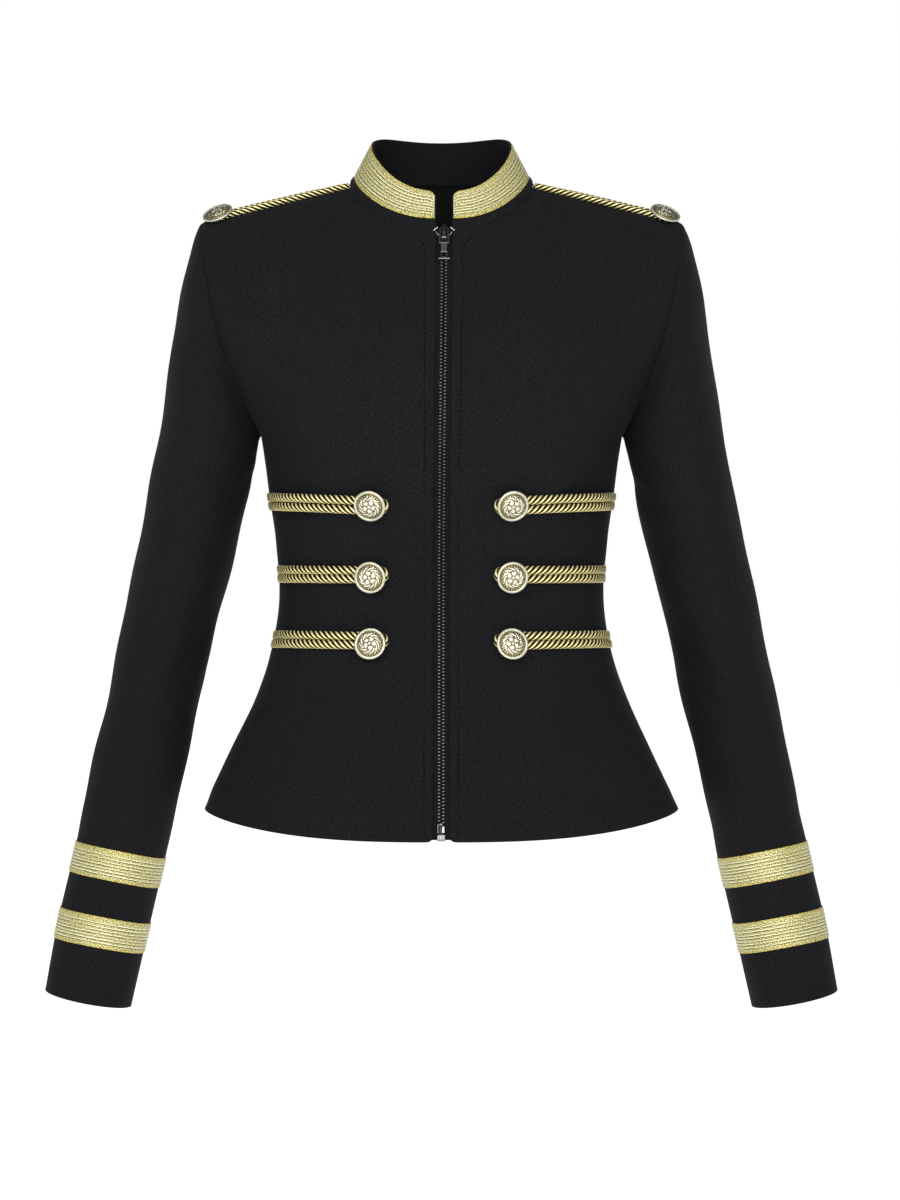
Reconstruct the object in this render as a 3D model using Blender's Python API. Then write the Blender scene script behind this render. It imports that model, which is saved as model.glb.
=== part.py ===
"""A fitted, band-collared jacket with a front zip, gold braid, cords and metal buttons.

It keeps the form it has when worn, with nobody in it. Metres, +Z up. The front faces -Y and
the wearer's left side is +X. The origin is where the shoulders carry it: on the middle
plane, between the two shoulder seams at the side of the neck.
"""

import math

import bpy
import numpy as np
from mathutils import Matrix, Vector

# ---- driving sizes --------------------------------------------------------------------

CLOTH = 0.0016
SEAM = 0.0003
PANEL_COLUMNS = 12
NECK_COLUMNS = 5
BODY_ROWS = 14
CHEST_ROWS = 10

ARMPIT_HEIGHT = -0.199
NECK_SIDE = 0.0715
NECK_SIDE_HEIGHT = -0.004
NECK_FRONT = 0.068
NECK_FRONT_HEIGHT = -0.0424
NECK_BACK = 0.064
NECK_BACK_HEIGHT = 0.004
NECK_ROUNDNESS = 2.2
HEM_SIDE_HEIGHT = -0.488
HEM_FRONT_DIP = 0.0185
HEM_BACK_DIP = 0.008
HEM_FLATNESS = 2.2
BODY_ROUNDNESS = 2.35
CHEST_ROUNDNESS = 2.0
# How fully the chest keeps its depth towards the shoulder: less is fuller.
FRONT_CENTRE_CLOSING = 1.3
BACK_CENTRE_CLOSING = 0.8
SIDE_CLOSING = 0.5
ARMHOLE_BACK_DEPTH = 0.054
ARMHOLE_LEAN = 0.3
NECK_LEAN_FRONT = 0.25
NECK_LEAN_SIDE = 1.3

ZIP_OPENING = 0.0062
CHAIN_HALF = 0.0031
CHAIN_THICK = 0.0024
TAPE_INNER = 0.0034
TAPE_OUTER = 0.0150
TAPE_THICK = 0.0010
TAPE_BELOW = CLOTH + 0.0005
SLIDER_HALF = 0.0040
SLIDER_LONG = 0.0140
SLIDER_TOP_HEIGHT = -0.0392
SLIDER_PLATE = 0.0012
SLIDER_CHANNEL = 0.0006
SLIDER_WEDGE_LONG = 0.0055
SLIDER_WEDGE_HALF = 0.0026
CROWN_HALF_LONG = 0.0044
CROWN_HIGH = 0.0036
CROWN_BAR = 0.0011
CROWN_HALF_WIDE = 0.0010
PULL_LONG = 0.0215
PULL_THICK = 0.0014
PULL_RING_HALF = 0.0039
PULL_RING_INNER = 0.0025
PULL_EYE_LONG = 0.0058
PULL_FOOT_LONG = 0.0022
PULL_PLATE_HALF = 0.0027
PULL_FLANGE_HALF = 0.0044
PULL_FLANGE_LONG = 0.0015
PULL_HOLE_UP = 0.0012
PULL_HOLE_LONG = 0.0030
BOX_SHRINK = 0.00002
ZIP_ROWS_APART = 0.002
BOX_LONG = 0.0068
BOX_THICK = 0.0030

COLLAR_GAP_HALF = 0.0061
COLLAR_BASE = 0.0085
COLLAR_MARGIN = 0.0008
BRAID_WIDE = 0.0250
BRAID_THICK = 0.0010
COLLAR_SIDE = 0.0540
COLLAR_SIDE_HEIGHT = 0.0290
COLLAR_FRONT = 0.0526
COLLAR_FRONT_HEIGHT = -0.0121
COLLAR_BACK = 0.0560
COLLAR_BACK_HEIGHT = 0.0370
COLLAR_CORNER = 0.0090
COLLAR_CORNER_PARTS = (0.0, 0.12, 0.35, 0.65, 1.0)

CORD = 0.0060
CORD_SPACING = 0.0066
CORD_CLEAR = 0.0008
CORD_SIDES = 8
CORD_FLAT_FROM = 0.6
CORD_FLAT_END = 0.2
BUTTON_RADIUS = 0.0122
BUTTON_OUT = 0.0527
BUTTON_BACK = CORD_CLEAR + CORD + 0.0005
BUTTON_RIM_THICK = 0.0016
BUTTON_DOME = 0.0034
SHANK_RADIUS = 0.0015
BUTTON_SIDES = 14
LOOP_REACH = 0.0118
LOOP_BEND_LONG = 0.0040
LOOP_END_TURN = 0.985
LOOP_SWELL_LONG = 0.0078
SWELL_PARTS = (1.0, 0.65, 0.35, 0.0, -0.35, -0.65, -1.0)
BEND_STEPS = 5
SHOULDER_BUTTON_OUT = 0.1720
SHOULDER_BUTTON_AHEAD = 0.0140
SHOULDER_CORD_START = 0.0012
SHOULDER_CORD_STEPS = 6
SHOULDER_LOW_RISE = 0.6
HALVINGS = 30

# ---- tables ---------------------------------------------------------------------------

# The body below the armpits, a row for each level: its height, the half width at the side
# seam, how far the centre front stands forward and how far the centre back stands back.
BODY_LEVELS = (
    # height, side, front, back
    (-0.1990, 0.1405, 0.1250, 0.1120),
    (-0.2168, 0.1378, 0.1248, 0.1105),
    (-0.2480, 0.1338, 0.1160, 0.1015),
    (-0.2792, 0.1290, 0.1030, 0.0910),
    (-0.3104, 0.1261, 0.0945, 0.0860),
    (-0.3416, 0.1278, 0.0950, 0.0905),
    (-0.3728, 0.1343, 0.1010, 0.1010),
    (-0.4040, 0.1455, 0.1090, 0.1120),
    (-0.4352, 0.1588, 0.1175, 0.1230),
    (-0.4664, 0.1735, 0.1260, 0.1330),
    (-0.4976, 0.1895, 0.1340, 0.1420),
    (-0.5100, 0.1960, 0.1370, 0.1455),
)

# The sleeve, a row for each ring from the armhole to the cuff. A ring's outer and inner
# points lie on the sleeve's two edges seen from the front; depth is half its size from
# front to back, bow how far the armhole's middle curves out, and ahead how far its middle
# stands behind (+) or before (-) the shoulder.
SLEEVE_RINGS = (
    # outer x, outer height, inner x, inner height, depth, bow, ahead
    (0.1860, -0.0310, 0.1405, -0.1990, 0.0580, 0.0090, 0.0000),
    (0.1894, -0.0362, 0.1411, -0.1995, 0.0586, 0.0088, 0.0000),
    (0.1958, -0.0530, 0.1418, -0.2003, 0.0596, 0.0078, 0.0000),
    (0.2032, -0.0842, 0.1426, -0.2024, 0.0610, 0.0055, 0.0000),
    (0.2094, -0.1232, 0.1433, -0.2060, 0.0620, 0.0030, 0.0005),
    (0.2147, -0.1622, 0.1446, -0.2120, 0.0622, 0.0010, 0.0015),
    (0.2221, -0.2090, 0.1476, -0.2270, 0.0612, 0.0000, 0.0030),
    (0.2324, -0.2636, 0.1596, -0.2800, 0.0582, 0.0000, 0.0055),
    (0.2457, -0.3260, 0.1755, -0.3424, 0.0545, 0.0000, 0.0070),
    (0.2586, -0.3884, 0.1884, -0.4040, 0.0510, 0.0000, 0.0050),
    (0.2716, -0.4507, 0.2019, -0.4656, 0.0478, 0.0000, -0.0020),
    (0.2833, -0.5125, 0.2149, -0.5274, 0.0450, 0.0000, -0.0110),
    (0.2969, -0.5739, 0.2284, -0.5879, 0.0428, 0.0000, -0.0200),
    (0.3060, -0.6270, 0.2399, -0.6402, 0.0415, 0.0000, -0.0280),
)
ARMHOLE = SLEEVE_RINGS[0]
SHOULDER_OUT, SHOULDER_HEIGHT = ARMHOLE[0], ARMHOLE[1]

# Where the cuff braids lie, as distances up the sleeve from the cuff to their lower edges.
CUFF_BRAIDS = (
    # name, up from the cuff
    ("lower", 0.0405),
    ("upper", 0.0945),
)

# The rows of cord and their buttons: the cord's height at the button and at the side seam,
# and the button's height.
CORD_ROWS = (
    # number, at the button, at the side, button
    (1, -0.2532, -0.2490, -0.2555),
    (2, -0.3056, -0.3050, -0.3088),
    (3, -0.3568, -0.3557, -0.3586),
)

# A button's outline from its back to its crown.
BUTTON_PROFILE = (
    # radius, height up the rim, height up the dome, each as a share of the whole
    (0.92, 0.0, 0.0),
    (1.00, 0.5, 0.0),
    (0.95, 1.0, 0.0),
    (0.62, 1.0, 0.6),
    (0.25, 1.0, 0.95),
)

CLOTH_COLOUR = (0.012, 0.0125, 0.015)
TAPE_COLOUR = (0.010, 0.010, 0.012)
BRAID_COLOUR = (0.60, 0.50, 0.17)
CORD_COLOUR = (0.42, 0.29, 0.07)
BUTTON_COLOUR = (0.72, 0.66, 0.47)
CHAIN_COLOUR = (0.05, 0.05, 0.055)
SLIDER_COLOUR = (0.06, 0.06, 0.065)
BOX_COLOUR = (0.45, 0.45, 0.46)


# ---- curves through the tables -----------------------------------------------------------


def through(keys, values, at):
    """Smooth values at a place between rows, on a curve that passes through every row."""
    keys = np.asarray(keys, float)
    values = np.asarray(values, float)
    slopes = np.gradient(values, keys, axis=0)
    low = int(np.clip(np.searchsorted(keys, at) - 1, 0, len(keys) - 2))
    span = keys[low + 1] - keys[low]
    part = (at - keys[low]) / span
    rest = 1 - part
    return (
        values[low] * (1 + 2 * part) * rest**2
        + slopes[low] * span * part * rest**2
        + values[low + 1] * (3 - 2 * part) * part**2
        - slopes[low + 1] * span * rest * part**2
    )


def body_at(height):
    """Side, front and back distances of the body at a height below the armpits."""
    rows = np.array(BODY_LEVELS)[::-1]
    return through(rows[:, 0], rows[:, 1:], height)


def power(value, exponent):
    return max(value, 0.0) ** exponent


def blend(low, high, part):
    return low + (high - low) * part


def ease(part):
    """From 0 to 1 with a soft start and end."""
    part = min(max(part, 0.0), 1.0)
    return part * part * (3 - 2 * part)


def unit(vector):
    return vector / np.linalg.norm(vector)


def ring_height(angle, front, side, back):
    """A height that runs smoothly round the neck, from the front (0) to the back (pi)."""
    swing = (back - front) / 2
    level = (front + back) / 2
    lift = (level - side) / 2
    return level - lift - swing * math.cos(angle) + lift * math.cos(2 * angle)


# ---- the body's surface --------------------------------------------------------------------


def neck_point(angle, side, front, back, heights, edge=0.0):
    """A point of a ring round the neck. The angle is 0 at the front and pi at the back."""
    depth = -front if angle < math.pi / 2 else back
    exponent = 2 / NECK_ROUNDNESS
    return np.array(
        [
            edge + (side - edge) * power(math.sin(angle), exponent),
            depth * power(abs(math.cos(angle)), exponent),
            ring_height(angle, *heights),
        ]
    )


def neckline(angle, edge=ZIP_OPENING):
    """The seam round the neck. Its front half starts beside the zip."""
    heights = (NECK_FRONT_HEIGHT, NECK_SIDE_HEIGHT, NECK_BACK_HEIGHT)
    start = edge if angle < math.pi / 2 else 0.0
    return neck_point(angle, NECK_SIDE, NECK_FRONT, NECK_BACK, heights, start)


def neck_outward(angle):
    """Which way the cloth's outside faces on the neckline seam, for body and collar alike."""
    flat = np.array([math.sin(angle), -math.cos(angle), 0])
    lean = blend(NECK_LEAN_FRONT, NECK_LEAN_SIDE, math.sin(angle) ** 2)
    return unit(flat + np.array([0, 0, lean]))


def sleeve_ring(row, angle):
    """A point of a sleeve ring: 0 at the top, a quarter turn at the front, half below."""
    outer = np.array([row[0], 0, row[1]])
    inner = np.array([row[2], 0, row[3]])
    half = (outer - inner) / 2
    across = half / np.linalg.norm(half)
    along = np.array([across[2], 0, -across[0]])
    depth = row[4]
    if math.sin(angle) < 0:
        depth = depth * armhole_back_ratio(row)
    bow = along * row[5] * math.sin(angle) ** 2
    reach = np.array([0, row[6] - depth * math.sin(angle), 0])
    return (outer + inner) / 2 + half * math.cos(angle) + bow + reach


def armhole_back_ratio(row):
    """The armhole is shallower behind, and the sleeve evens out where it stops bowing."""
    return blend(1.0, ARMHOLE_BACK_DEPTH / ARMHOLE[4], row[5] / ARMHOLE[5])


def ring_outward(row, angle):
    """Which way the cloth's outside faces on the armhole seam, for body and sleeve alike."""
    across = unit(np.array([row[0] - row[2], 0, row[1] - row[3]]))
    along = np.array([across[2], 0, -across[0]])
    forward = np.array([0, -math.sin(angle), 0])
    return unit(across * math.cos(angle) + forward + along * ARMHOLE_LEAN)


def top_edge(side, part):
    """The panel's top edge: round the neckline, then out along the shoulder seam."""
    neck_part = NECK_COLUMNS / PANEL_COLUMNS
    if part <= neck_part:
        turn = part / neck_part * math.pi / 2
        return neckline(turn) if side < 0 else neckline(math.pi - turn)
    along = (part - neck_part) / (1 - neck_part)
    return np.array(
        [
            blend(NECK_SIDE, SHOULDER_OUT, along),
            0.0,
            blend(NECK_SIDE_HEIGHT, SHOULDER_HEIGHT, along),
        ]
    )


def hem_height(side, part):
    dip = HEM_FRONT_DIP if side < 0 else HEM_BACK_DIP
    return HEM_SIDE_HEIGHT - dip * (1 - power(math.sin(part * math.pi / 2), HEM_FLATNESS))


def centre_edge(side):
    return ZIP_OPENING if side < 0 else 0.0


def section_point(side, height, turn):
    """A point of the level section at a height. The turn is 0 at the centre, 1 at the side."""
    out, front, back = body_at(height)
    depth = -front if side < 0 else back
    edge = centre_edge(side)
    exponent = 2 / BODY_ROUNDNESS
    angle = turn * math.pi / 2
    return np.array(
        [
            edge + (out - edge) * power(math.sin(angle), exponent),
            depth * power(math.cos(angle), exponent),
            height,
        ]
    )


def chest_point(side, part, rise):
    """A point above the armpits. The rise is 0 at the armpit and 1 at the shoulder."""
    angle = math.pi * (1 - rise)
    lift = (1 + math.cos(angle)) / 2
    armhole = sleeve_ring(ARMHOLE, angle if side < 0 else -angle)
    top = top_edge(side, part)
    edge = centre_edge(side)
    roundness = blend(BODY_ROUNDNESS, CHEST_ROUNDNESS, math.sin(lift * math.pi / 2))
    depth = abs(section_point(side, ARMPIT_HEIGHT, 0.0)[1])
    armhole_depth = ARMHOLE[4] if side < 0 else ARMHOLE_BACK_DEPTH
    edge_depth = armhole_depth * 2 * math.sqrt(lift / (1 + lift))
    end = math.acos((edge_depth / depth) ** (roundness / 2))
    across = power(math.sin(end * part) / math.sin(end), 2 / roundness)
    out = edge + (armhole[0] - edge) * across

    top_end = math.acos((armhole_depth * math.sqrt(2) / depth) ** (CHEST_ROUNDNESS / 2))
    top_across = power(math.sin(top_end * part) / math.sin(top_end), 2 / CHEST_ROUNDNESS)
    top_out = edge + (SHOULDER_OUT - edge) * top_across
    out = out + lift**3 * (top[0] - top_out)

    forward = depth * power(math.cos(end * part), 2 / roundness)
    centre_closing = FRONT_CENTRE_CLOSING if side < 0 else BACK_CENTRE_CLOSING
    closing = blend(centre_closing, SIDE_CLOSING, math.sin(part * math.pi / 2))
    cap = power(1 - lift**2, closing)
    depth_here = abs(top[1]) + (forward - abs(top[1])) * cap
    bow_drop = armhole[2] - blend(ARMHOLE[3], ARMHOLE[1], lift)
    height = blend(ARMPIT_HEIGHT, top[2], lift) + bow_drop * part**2
    return np.array([out, side * depth_here, height])


def panel_point(side, part, rise):
    """A point of the front (side -1) or back (+1). The rise is -1 at the hem, 0 at the armpit
    and 1 at the shoulder; the part is 0 at the centre and 1 at the side seam or armhole."""
    if rise >= 0:
        return chest_point(side, part, rise)
    height = blend(ARMPIT_HEIGHT, hem_height(side, part), -rise)
    return section_point(side, height, part)


def surface_normal(side, part, rise, step=1e-3):
    """The way a panel faces, from two short steps along it that stay inside its edges."""
    part = min(max(part, step), 1 - step)
    rise = -step if rise == 0 else min(rise, 1 - 10 * step)
    across = panel_point(side, part + step, rise) - panel_point(side, part - step, rise)
    along = panel_point(side, part, rise + step) - panel_point(side, part, rise - step)
    return unit(np.cross(across, along) * -side)


def without(normal, axis):
    """The normal with no component along an axis, so that two pieces share it at a seam."""
    kept = np.array(normal)
    kept[axis] = 0.0
    return unit(kept)


def panel_normal(side, part, rise):
    angle = math.pi * (1 - rise)
    if part >= 1 and rise >= 0:
        return ring_outward(ARMHOLE, angle if side < 0 else -angle)
    neck_part = NECK_COLUMNS / PANEL_COLUMNS
    if rise >= 1 and part <= neck_part:
        turn = part / neck_part * math.pi / 2
        return neck_outward(turn if side < 0 else math.pi - turn)
    normal = surface_normal(side, part, rise)
    if part >= 1 or rise >= 1:
        normal = without(normal, 1)
    if part <= 0:
        normal = without(normal, 0)
    return normal


# ---- meshes --------------------------------------------------------------------------------


def mesh_object(name, points, faces, material, smooth_angle=40):
    mesh = bpy.data.meshes.new(name)
    mesh.from_pydata([tuple(point) for point in points], [], faces)
    mesh.update()
    mesh.shade_smooth()
    mesh.set_sharp_from_angle(angle=math.radians(smooth_angle))
    obj = bpy.data.objects.new(name, mesh)
    bpy.context.scene.collection.objects.link(obj)
    obj.data.materials.append(material)
    return obj


def turned_outward(points, faces):
    """The faces in the order that makes a closed solid's volume positive."""
    volume = 0.0
    for face in faces:
        first = points[face[0]]
        for second, third in zip(face[1:-1], face[2:]):
            volume += float(np.dot(first, np.cross(points[second], points[third])))
    return faces if volume > 0 else [tuple(reversed(face)) for face in faces]


def wall(name, outer, inner, material, ring=False):
    """A closed wall between two grids of points, [row][column]. A ring joins its columns'
    ends, and is open only at its first and last rows."""
    outer = np.asarray(outer)
    inner = np.asarray(inner)
    rows, columns = outer.shape[:2]
    points = np.concatenate([outer.reshape(-1, 3), inner.reshape(-1, 3)])
    back = rows * columns
    faces = []
    spans = columns if ring else columns - 1
    for row in range(rows - 1):
        for column in range(spans):
            after = (column + 1) % columns
            near, far = row * columns, (row + 1) * columns
            # The two triangles of each field are cut the same way in every wall, so that
            # one wall's facets lie parallel to those of the wall under it.
            for corners in (
                (near + column, near + after, far + after),
                (near + column, far + after, far + column),
            ):
                faces.append(corners)
                faces.append(tuple(back + corner for corner in reversed(corners)))
    for column in range(spans):
        after = (column + 1) % columns
        last = (rows - 1) * columns
        faces.append((after, column, back + column, back + after))
        faces.append((last + column, last + after, back + last + after, back + last + column))
    if not ring:
        for row in range(rows - 1):
            start, next_start = row * columns, (row + 1) * columns
            end, next_end = start + columns - 1, next_start + columns - 1
            faces.append((start, next_start, back + next_start, back + start))
            faces.append((next_end, end, back + end, back + next_end))
    return mesh_object(name, points, turned_outward(points, faces), material)


def mirrored(obj, name):
    """The same piece on the wearer's right."""
    mesh = obj.data.copy()
    mesh.transform(Matrix.Scale(-1, 4, Vector((1, 0, 0))))
    mesh.flip_normals()
    mesh.name = name
    copy = bpy.data.objects.new(name, mesh)
    bpy.context.scene.collection.objects.link(copy)
    return copy


def material(name, colour, roughness, metallic):
    made = bpy.data.materials.new(name)
    made.use_nodes = True
    shader = made.node_tree.nodes["Principled BSDF"]
    shader.inputs["Base Color"].default_value = (*colour, 1)
    shader.inputs["Roughness"].default_value = roughness
    shader.inputs["Metallic"].default_value = metallic
    return made


# ---- cloth pieces ----------------------------------------------------------------------------


def panel_rises():
    """Hem to shoulder. The chest's rises match the sleeve ring's angles."""
    body = [-1 + row / BODY_ROWS for row in range(BODY_ROWS)]
    return body + [row / CHEST_ROWS for row in range(CHEST_ROWS + 1)]


def make_panel(name, side, cloth):
    """A front or back on the wearer's left, drawn in by half a seam where it meets another."""
    outer, inner = [], []
    for rise in panel_rises():
        outer_row, inner_row = [], []
        for column in range(PANEL_COLUMNS + 1):
            part = column / PANEL_COLUMNS
            point = panel_point(side, part, rise)
            normal = panel_normal(side, part, rise)
            on_shoulder = rise >= 1 and column >= NECK_COLUMNS
            on_side = column == PANEL_COLUMNS and (rise <= 0 or rise >= 1)
            if on_shoulder or on_side:
                point = point + np.array([0, side * SEAM / 2, 0])
            if side > 0 and column == 0:
                point = point + np.array([SEAM / 2, 0, 0])
            outer_row.append(point)
            inner_row.append(point - normal * CLOTH)
        outer.append(outer_row)
        inner.append(inner_row)
    return wall(name, outer, inner, cloth)


def sleeve_point(along, angle):
    """A point of the sleeve. Along runs from 0 at the armhole to 1 at the cuff."""
    rows = np.array(SLEEVE_RINGS)
    row = through(np.arange(len(rows)), rows, along * (len(rows) - 1))
    return sleeve_ring(row, angle)


def sleeve_normal(along, angle, step=1e-3):
    low, high = max(along - step, 0.0), min(along + step, 1.0)
    down = sleeve_point(high, angle) - sleeve_point(low, angle)
    round_it = sleeve_point(along, angle + step) - sleeve_point(along, angle - step)
    return unit(np.cross(round_it, down))


def sleeve_grid(alongs, lift, thickness):
    """Rings of points on the sleeve, moved out by a lift, and the same less a thickness."""
    outer, inner = [], []
    for along in alongs:
        outer_row, inner_row = [], []
        for step in range(2 * CHEST_ROWS):
            angle = math.pi * step / CHEST_ROWS
            point = sleeve_point(along, angle)
            normal = sleeve_normal(along, angle)
            if along <= 0:
                normal = ring_outward(ARMHOLE, angle)
                point = point + armhole_outward() * SEAM
            outer_row.append(point + normal * lift)
            inner_row.append(point + normal * (lift - thickness))
        outer.append(outer_row)
        inner.append(inner_row)
    return outer, inner


def armhole_outward():
    """Across the armhole seam, from the body towards the sleeve."""
    across = unit(np.array([ARMHOLE[0] - ARMHOLE[2], 0, ARMHOLE[1] - ARMHOLE[3]]))
    return np.array([across[2], 0, -across[0]])


def make_sleeve(name, cloth):
    count = len(SLEEVE_RINGS)
    alongs = [row / (count - 1) for row in range(count)]
    outer, inner = sleeve_grid(alongs, 0.0, CLOTH)
    return wall(name, outer, inner, cloth, ring=True)


def cuff_distance(along):
    """How far up from the cuff the middle of the sleeve is at a place along it."""
    steps = 40
    places = [blend(along, 1.0, step / steps) for step in range(steps + 1)]
    middles = [(sleeve_point(at, 0) + sleeve_point(at, math.pi)) / 2 for at in places]
    return sum(np.linalg.norm(b - a) for a, b in zip(middles, middles[1:]))


def along_at(distance):
    """The place along the sleeve that lies a distance up from the cuff."""
    low, high = 0.0, 1.0
    for _ in range(HALVINGS):
        middle = (low + high) / 2
        if cuff_distance(middle) > distance:
            low = middle
        else:
            high = middle
    return (low + high) / 2


def make_cuff_braid(name, distance, braid):
    start, end = along_at(distance), along_at(distance + BRAID_WIDE)
    alongs = [blend(end, start, part) for part in (0.0, 0.5, 1.0)]
    outer, inner = sleeve_grid(alongs, SEAM + BRAID_THICK, BRAID_THICK)
    return wall(name, outer, inner, braid, ring=True)


# ---- collar ------------------------------------------------------------------------------------


def collar_lines():
    """Base and top points of the collar from its left front end round to the right one, which
    way each base point faces, and its distance from the nearer end."""
    heights = (COLLAR_FRONT_HEIGHT, COLLAR_SIDE_HEIGHT, COLLAR_BACK_HEIGHT)
    bases, tops, facings = [], [], []
    steps = 2 * NECK_COLUMNS
    for step in range(steps + 1):
        angle = math.pi * step / steps
        bases.append(neckline(angle))
        facings.append(neck_outward(angle))
        start = ZIP_OPENING if angle < math.pi / 2 else 0.0
        tops.append(
            neck_point(angle, COLLAR_SIDE, COLLAR_FRONT, COLLAR_BACK, heights, start)
        )
    first_base = bases[0] * np.array([0, 1, 1]) + np.array([COLLAR_GAP_HALF, 0, 0])
    first_top = tops[0] * np.array([0, 1, 1]) + np.array([COLLAR_GAP_HALF, 0, 0])
    run = np.linalg.norm(bases[1] - first_base)
    parts = [part * COLLAR_CORNER / run for part in COLLAR_CORNER_PARTS]
    end_bases = [blend(first_base, bases[1], part) for part in parts]
    end_tops = [blend(first_top, tops[1], part) for part in parts]
    distances = [part * COLLAR_CORNER for part in COLLAR_CORNER_PARTS]
    left_bases = end_bases + bases[1:]
    left_tops = end_tops + tops[1:]
    left_facings = [blend(facings[0], facings[1], part) for part in parts] + facings[1:]
    distances = distances + [COLLAR_CORNER] * (len(bases) - 1)
    flip = np.array([-1, 1, 1])
    right_bases = [point * flip for point in reversed(left_bases[:-1])]
    right_tops = [point * flip for point in reversed(left_tops[:-1])]
    right_facings = [outward * flip for outward in reversed(left_facings[:-1])]
    return (
        np.array(left_bases + right_bases),
        np.array(left_tops + right_tops),
        np.array(left_facings + right_facings),
        np.array(distances + distances[-2::-1]),
    )


def corner_drop(distance):
    """How much lower the collar's top edge is near its rounded front corner."""
    left = COLLAR_CORNER - distance
    return COLLAR_CORNER - math.sqrt(max(COLLAR_CORNER**2 - left**2, 0.0))


def collar_grid(heights, lift, thickness):
    """Points of the collar at some heights above the neckline seam. Its top edge drops to a
    round corner at each front end, and what lies below it drops in step."""
    bases, tops, facings, distances = collar_lines()
    outer = np.zeros((len(heights), len(bases), 3))
    inner = np.zeros_like(outer)
    round_it = np.gradient(bases, axis=0)
    band = collar_height() - COLLAR_BASE
    for column, (base, top, distance) in enumerate(zip(bases, tops, distances)):
        full = np.linalg.norm(top - base)
        up = (top - base) / full
        normal = unit(np.cross(round_it[column], up))
        stretch = (full - corner_drop(distance) - COLLAR_BASE) / band
        for row, height in enumerate(heights):
            outward = facings[column] if height <= SEAM else normal
            reach = min(height, COLLAR_BASE) + max(height - COLLAR_BASE, 0.0) * stretch
            here = base + up * reach
            outer[row, column] = here + outward * lift
            inner[row, column] = here + outward * (lift - thickness)
    return outer, inner


def collar_height():
    return COLLAR_BASE + BRAID_WIDE + COLLAR_MARGIN


def make_collar(cloth):
    braid_top = COLLAR_BASE + BRAID_WIDE
    heights = (SEAM, COLLAR_BASE, braid_top, collar_height())
    return wall("collar", *collar_grid(heights, 0.0, CLOTH), cloth)


def make_collar_braid(braid):
    heights = (COLLAR_BASE, COLLAR_BASE + BRAID_WIDE)
    return wall("collar_braid", *collar_grid(heights, SEAM + BRAID_THICK, BRAID_THICK), braid)


# ---- zip -----------------------------------------------------------------------------------------


def centre_point(height):
    """The outside of the cloth at the front opening, at a height."""
    if height < ARMPIT_HEIGHT:
        return section_point(-1, height, 0.0) * np.array([0, 1, 1])
    lift = (height - ARMPIT_HEIGHT) / (NECK_FRONT_HEIGHT - ARMPIT_HEIGHT)
    rise = 1 - math.acos(min(2 * lift - 1, 1.0)) / math.pi
    return chest_point(-1, 0.0, rise) * np.array([0, 1, 1])


def centre_normal(height, step=1e-3):
    top = min(height + step, NECK_FRONT_HEIGHT)
    up = unit(centre_point(top) - centre_point(top - 2 * step))
    return np.array([0, -up[2], up[1]])


def zip_heights(low, high):
    """Heights between two ends of the zip, with the front's own rows in between."""
    rows = [panel_point(-1, 0.0, rise)[2] for rise in panel_rises()]
    between = [row for row in rows if low + ZIP_ROWS_APART < row < high - ZIP_ROWS_APART]
    return [low] + between + [high]


def make_tape(name, stuff):
    """The tape lies behind the front's first column, a little below its inside."""
    outer, inner = [], []
    first = 1 / PANEL_COLUMNS
    for rise in panel_rises():
        edge, inside = panel_point(-1, 0.0, rise), panel_point(-1, first, rise)
        part = (TAPE_OUTER - ZIP_OPENING) / (inside[0] - ZIP_OPENING)
        free = edge * np.array([0, 1, 1]) + np.array([TAPE_INNER, 0, 0])
        under = blend(edge, inside, part)
        edge_normal = panel_normal(-1, 0.0, rise)
        under_normal = unit(blend(edge_normal, panel_normal(-1, first, rise), part))
        columns = ((free, edge_normal), (edge, edge_normal), (under, under_normal))
        outer.append([point - normal * TAPE_BELOW for point, normal in columns])
        below = TAPE_BELOW + TAPE_THICK
        inner.append([point - normal * below for point, normal in columns])
    return wall(name, outer, inner, stuff)


def strip(name, low, high, left, right, depth, thickness, stuff):
    """A strip along the opening between two distances from the middle, sunk by a depth."""
    outer, inner = [], []
    for height in zip_heights(low, high):
        point, normal = centre_point(height), centre_normal(height)
        for line, below in ((outer, depth), (inner, depth + thickness)):
            middle = point - normal * below
            line.append([middle + np.array([side, 0, 0]) for side in (left, right)])
    return wall(name, outer, inner, stuff)


def hem_front_height():
    return HEM_SIDE_HEIGHT - HEM_FRONT_DIP


def slider_frame():
    """The slider's own axes: across, up along the zip, and out of the cloth."""
    middle = SLIDER_TOP_HEIGHT - SLIDER_LONG / 2
    point = centre_point(middle)
    normal = centre_normal(middle)
    up = np.array([0, normal[2], -normal[1]])
    frame = Matrix.Identity(4)
    for axis, column in enumerate(((1, 0, 0), tuple(up), tuple(normal))):
        for row in range(3):
            frame[row][axis] = column[row]
    frame.translation = Vector(tuple(point))
    return frame


def box_object(name, low, high, stuff):
    corners = ((0, 0), (1, 0), (1, 1), (0, 1))
    ends = (low, high)
    points = [(ends[x][0], ends[y][1], ends[z][2]) for z in (0, 1) for x, y in corners]
    sides = ((0, 1, 5, 4), (1, 2, 6, 5), (2, 3, 7, 6), (3, 0, 4, 7))
    return mesh_object(name, points, ((3, 2, 1, 0), (4, 5, 6, 7)) + sides, stuff)


def cut_or_join(body, other, operation):
    """Joins a helper to a body, or cuts it out, and leaves the helper out of the jacket."""
    other.hide_render = True
    other.display_type = "WIRE"
    step = body.modifiers.new(other.name, "BOOLEAN")
    step.operation = operation
    step.solver = "EXACT"
    step.object = other


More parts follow.
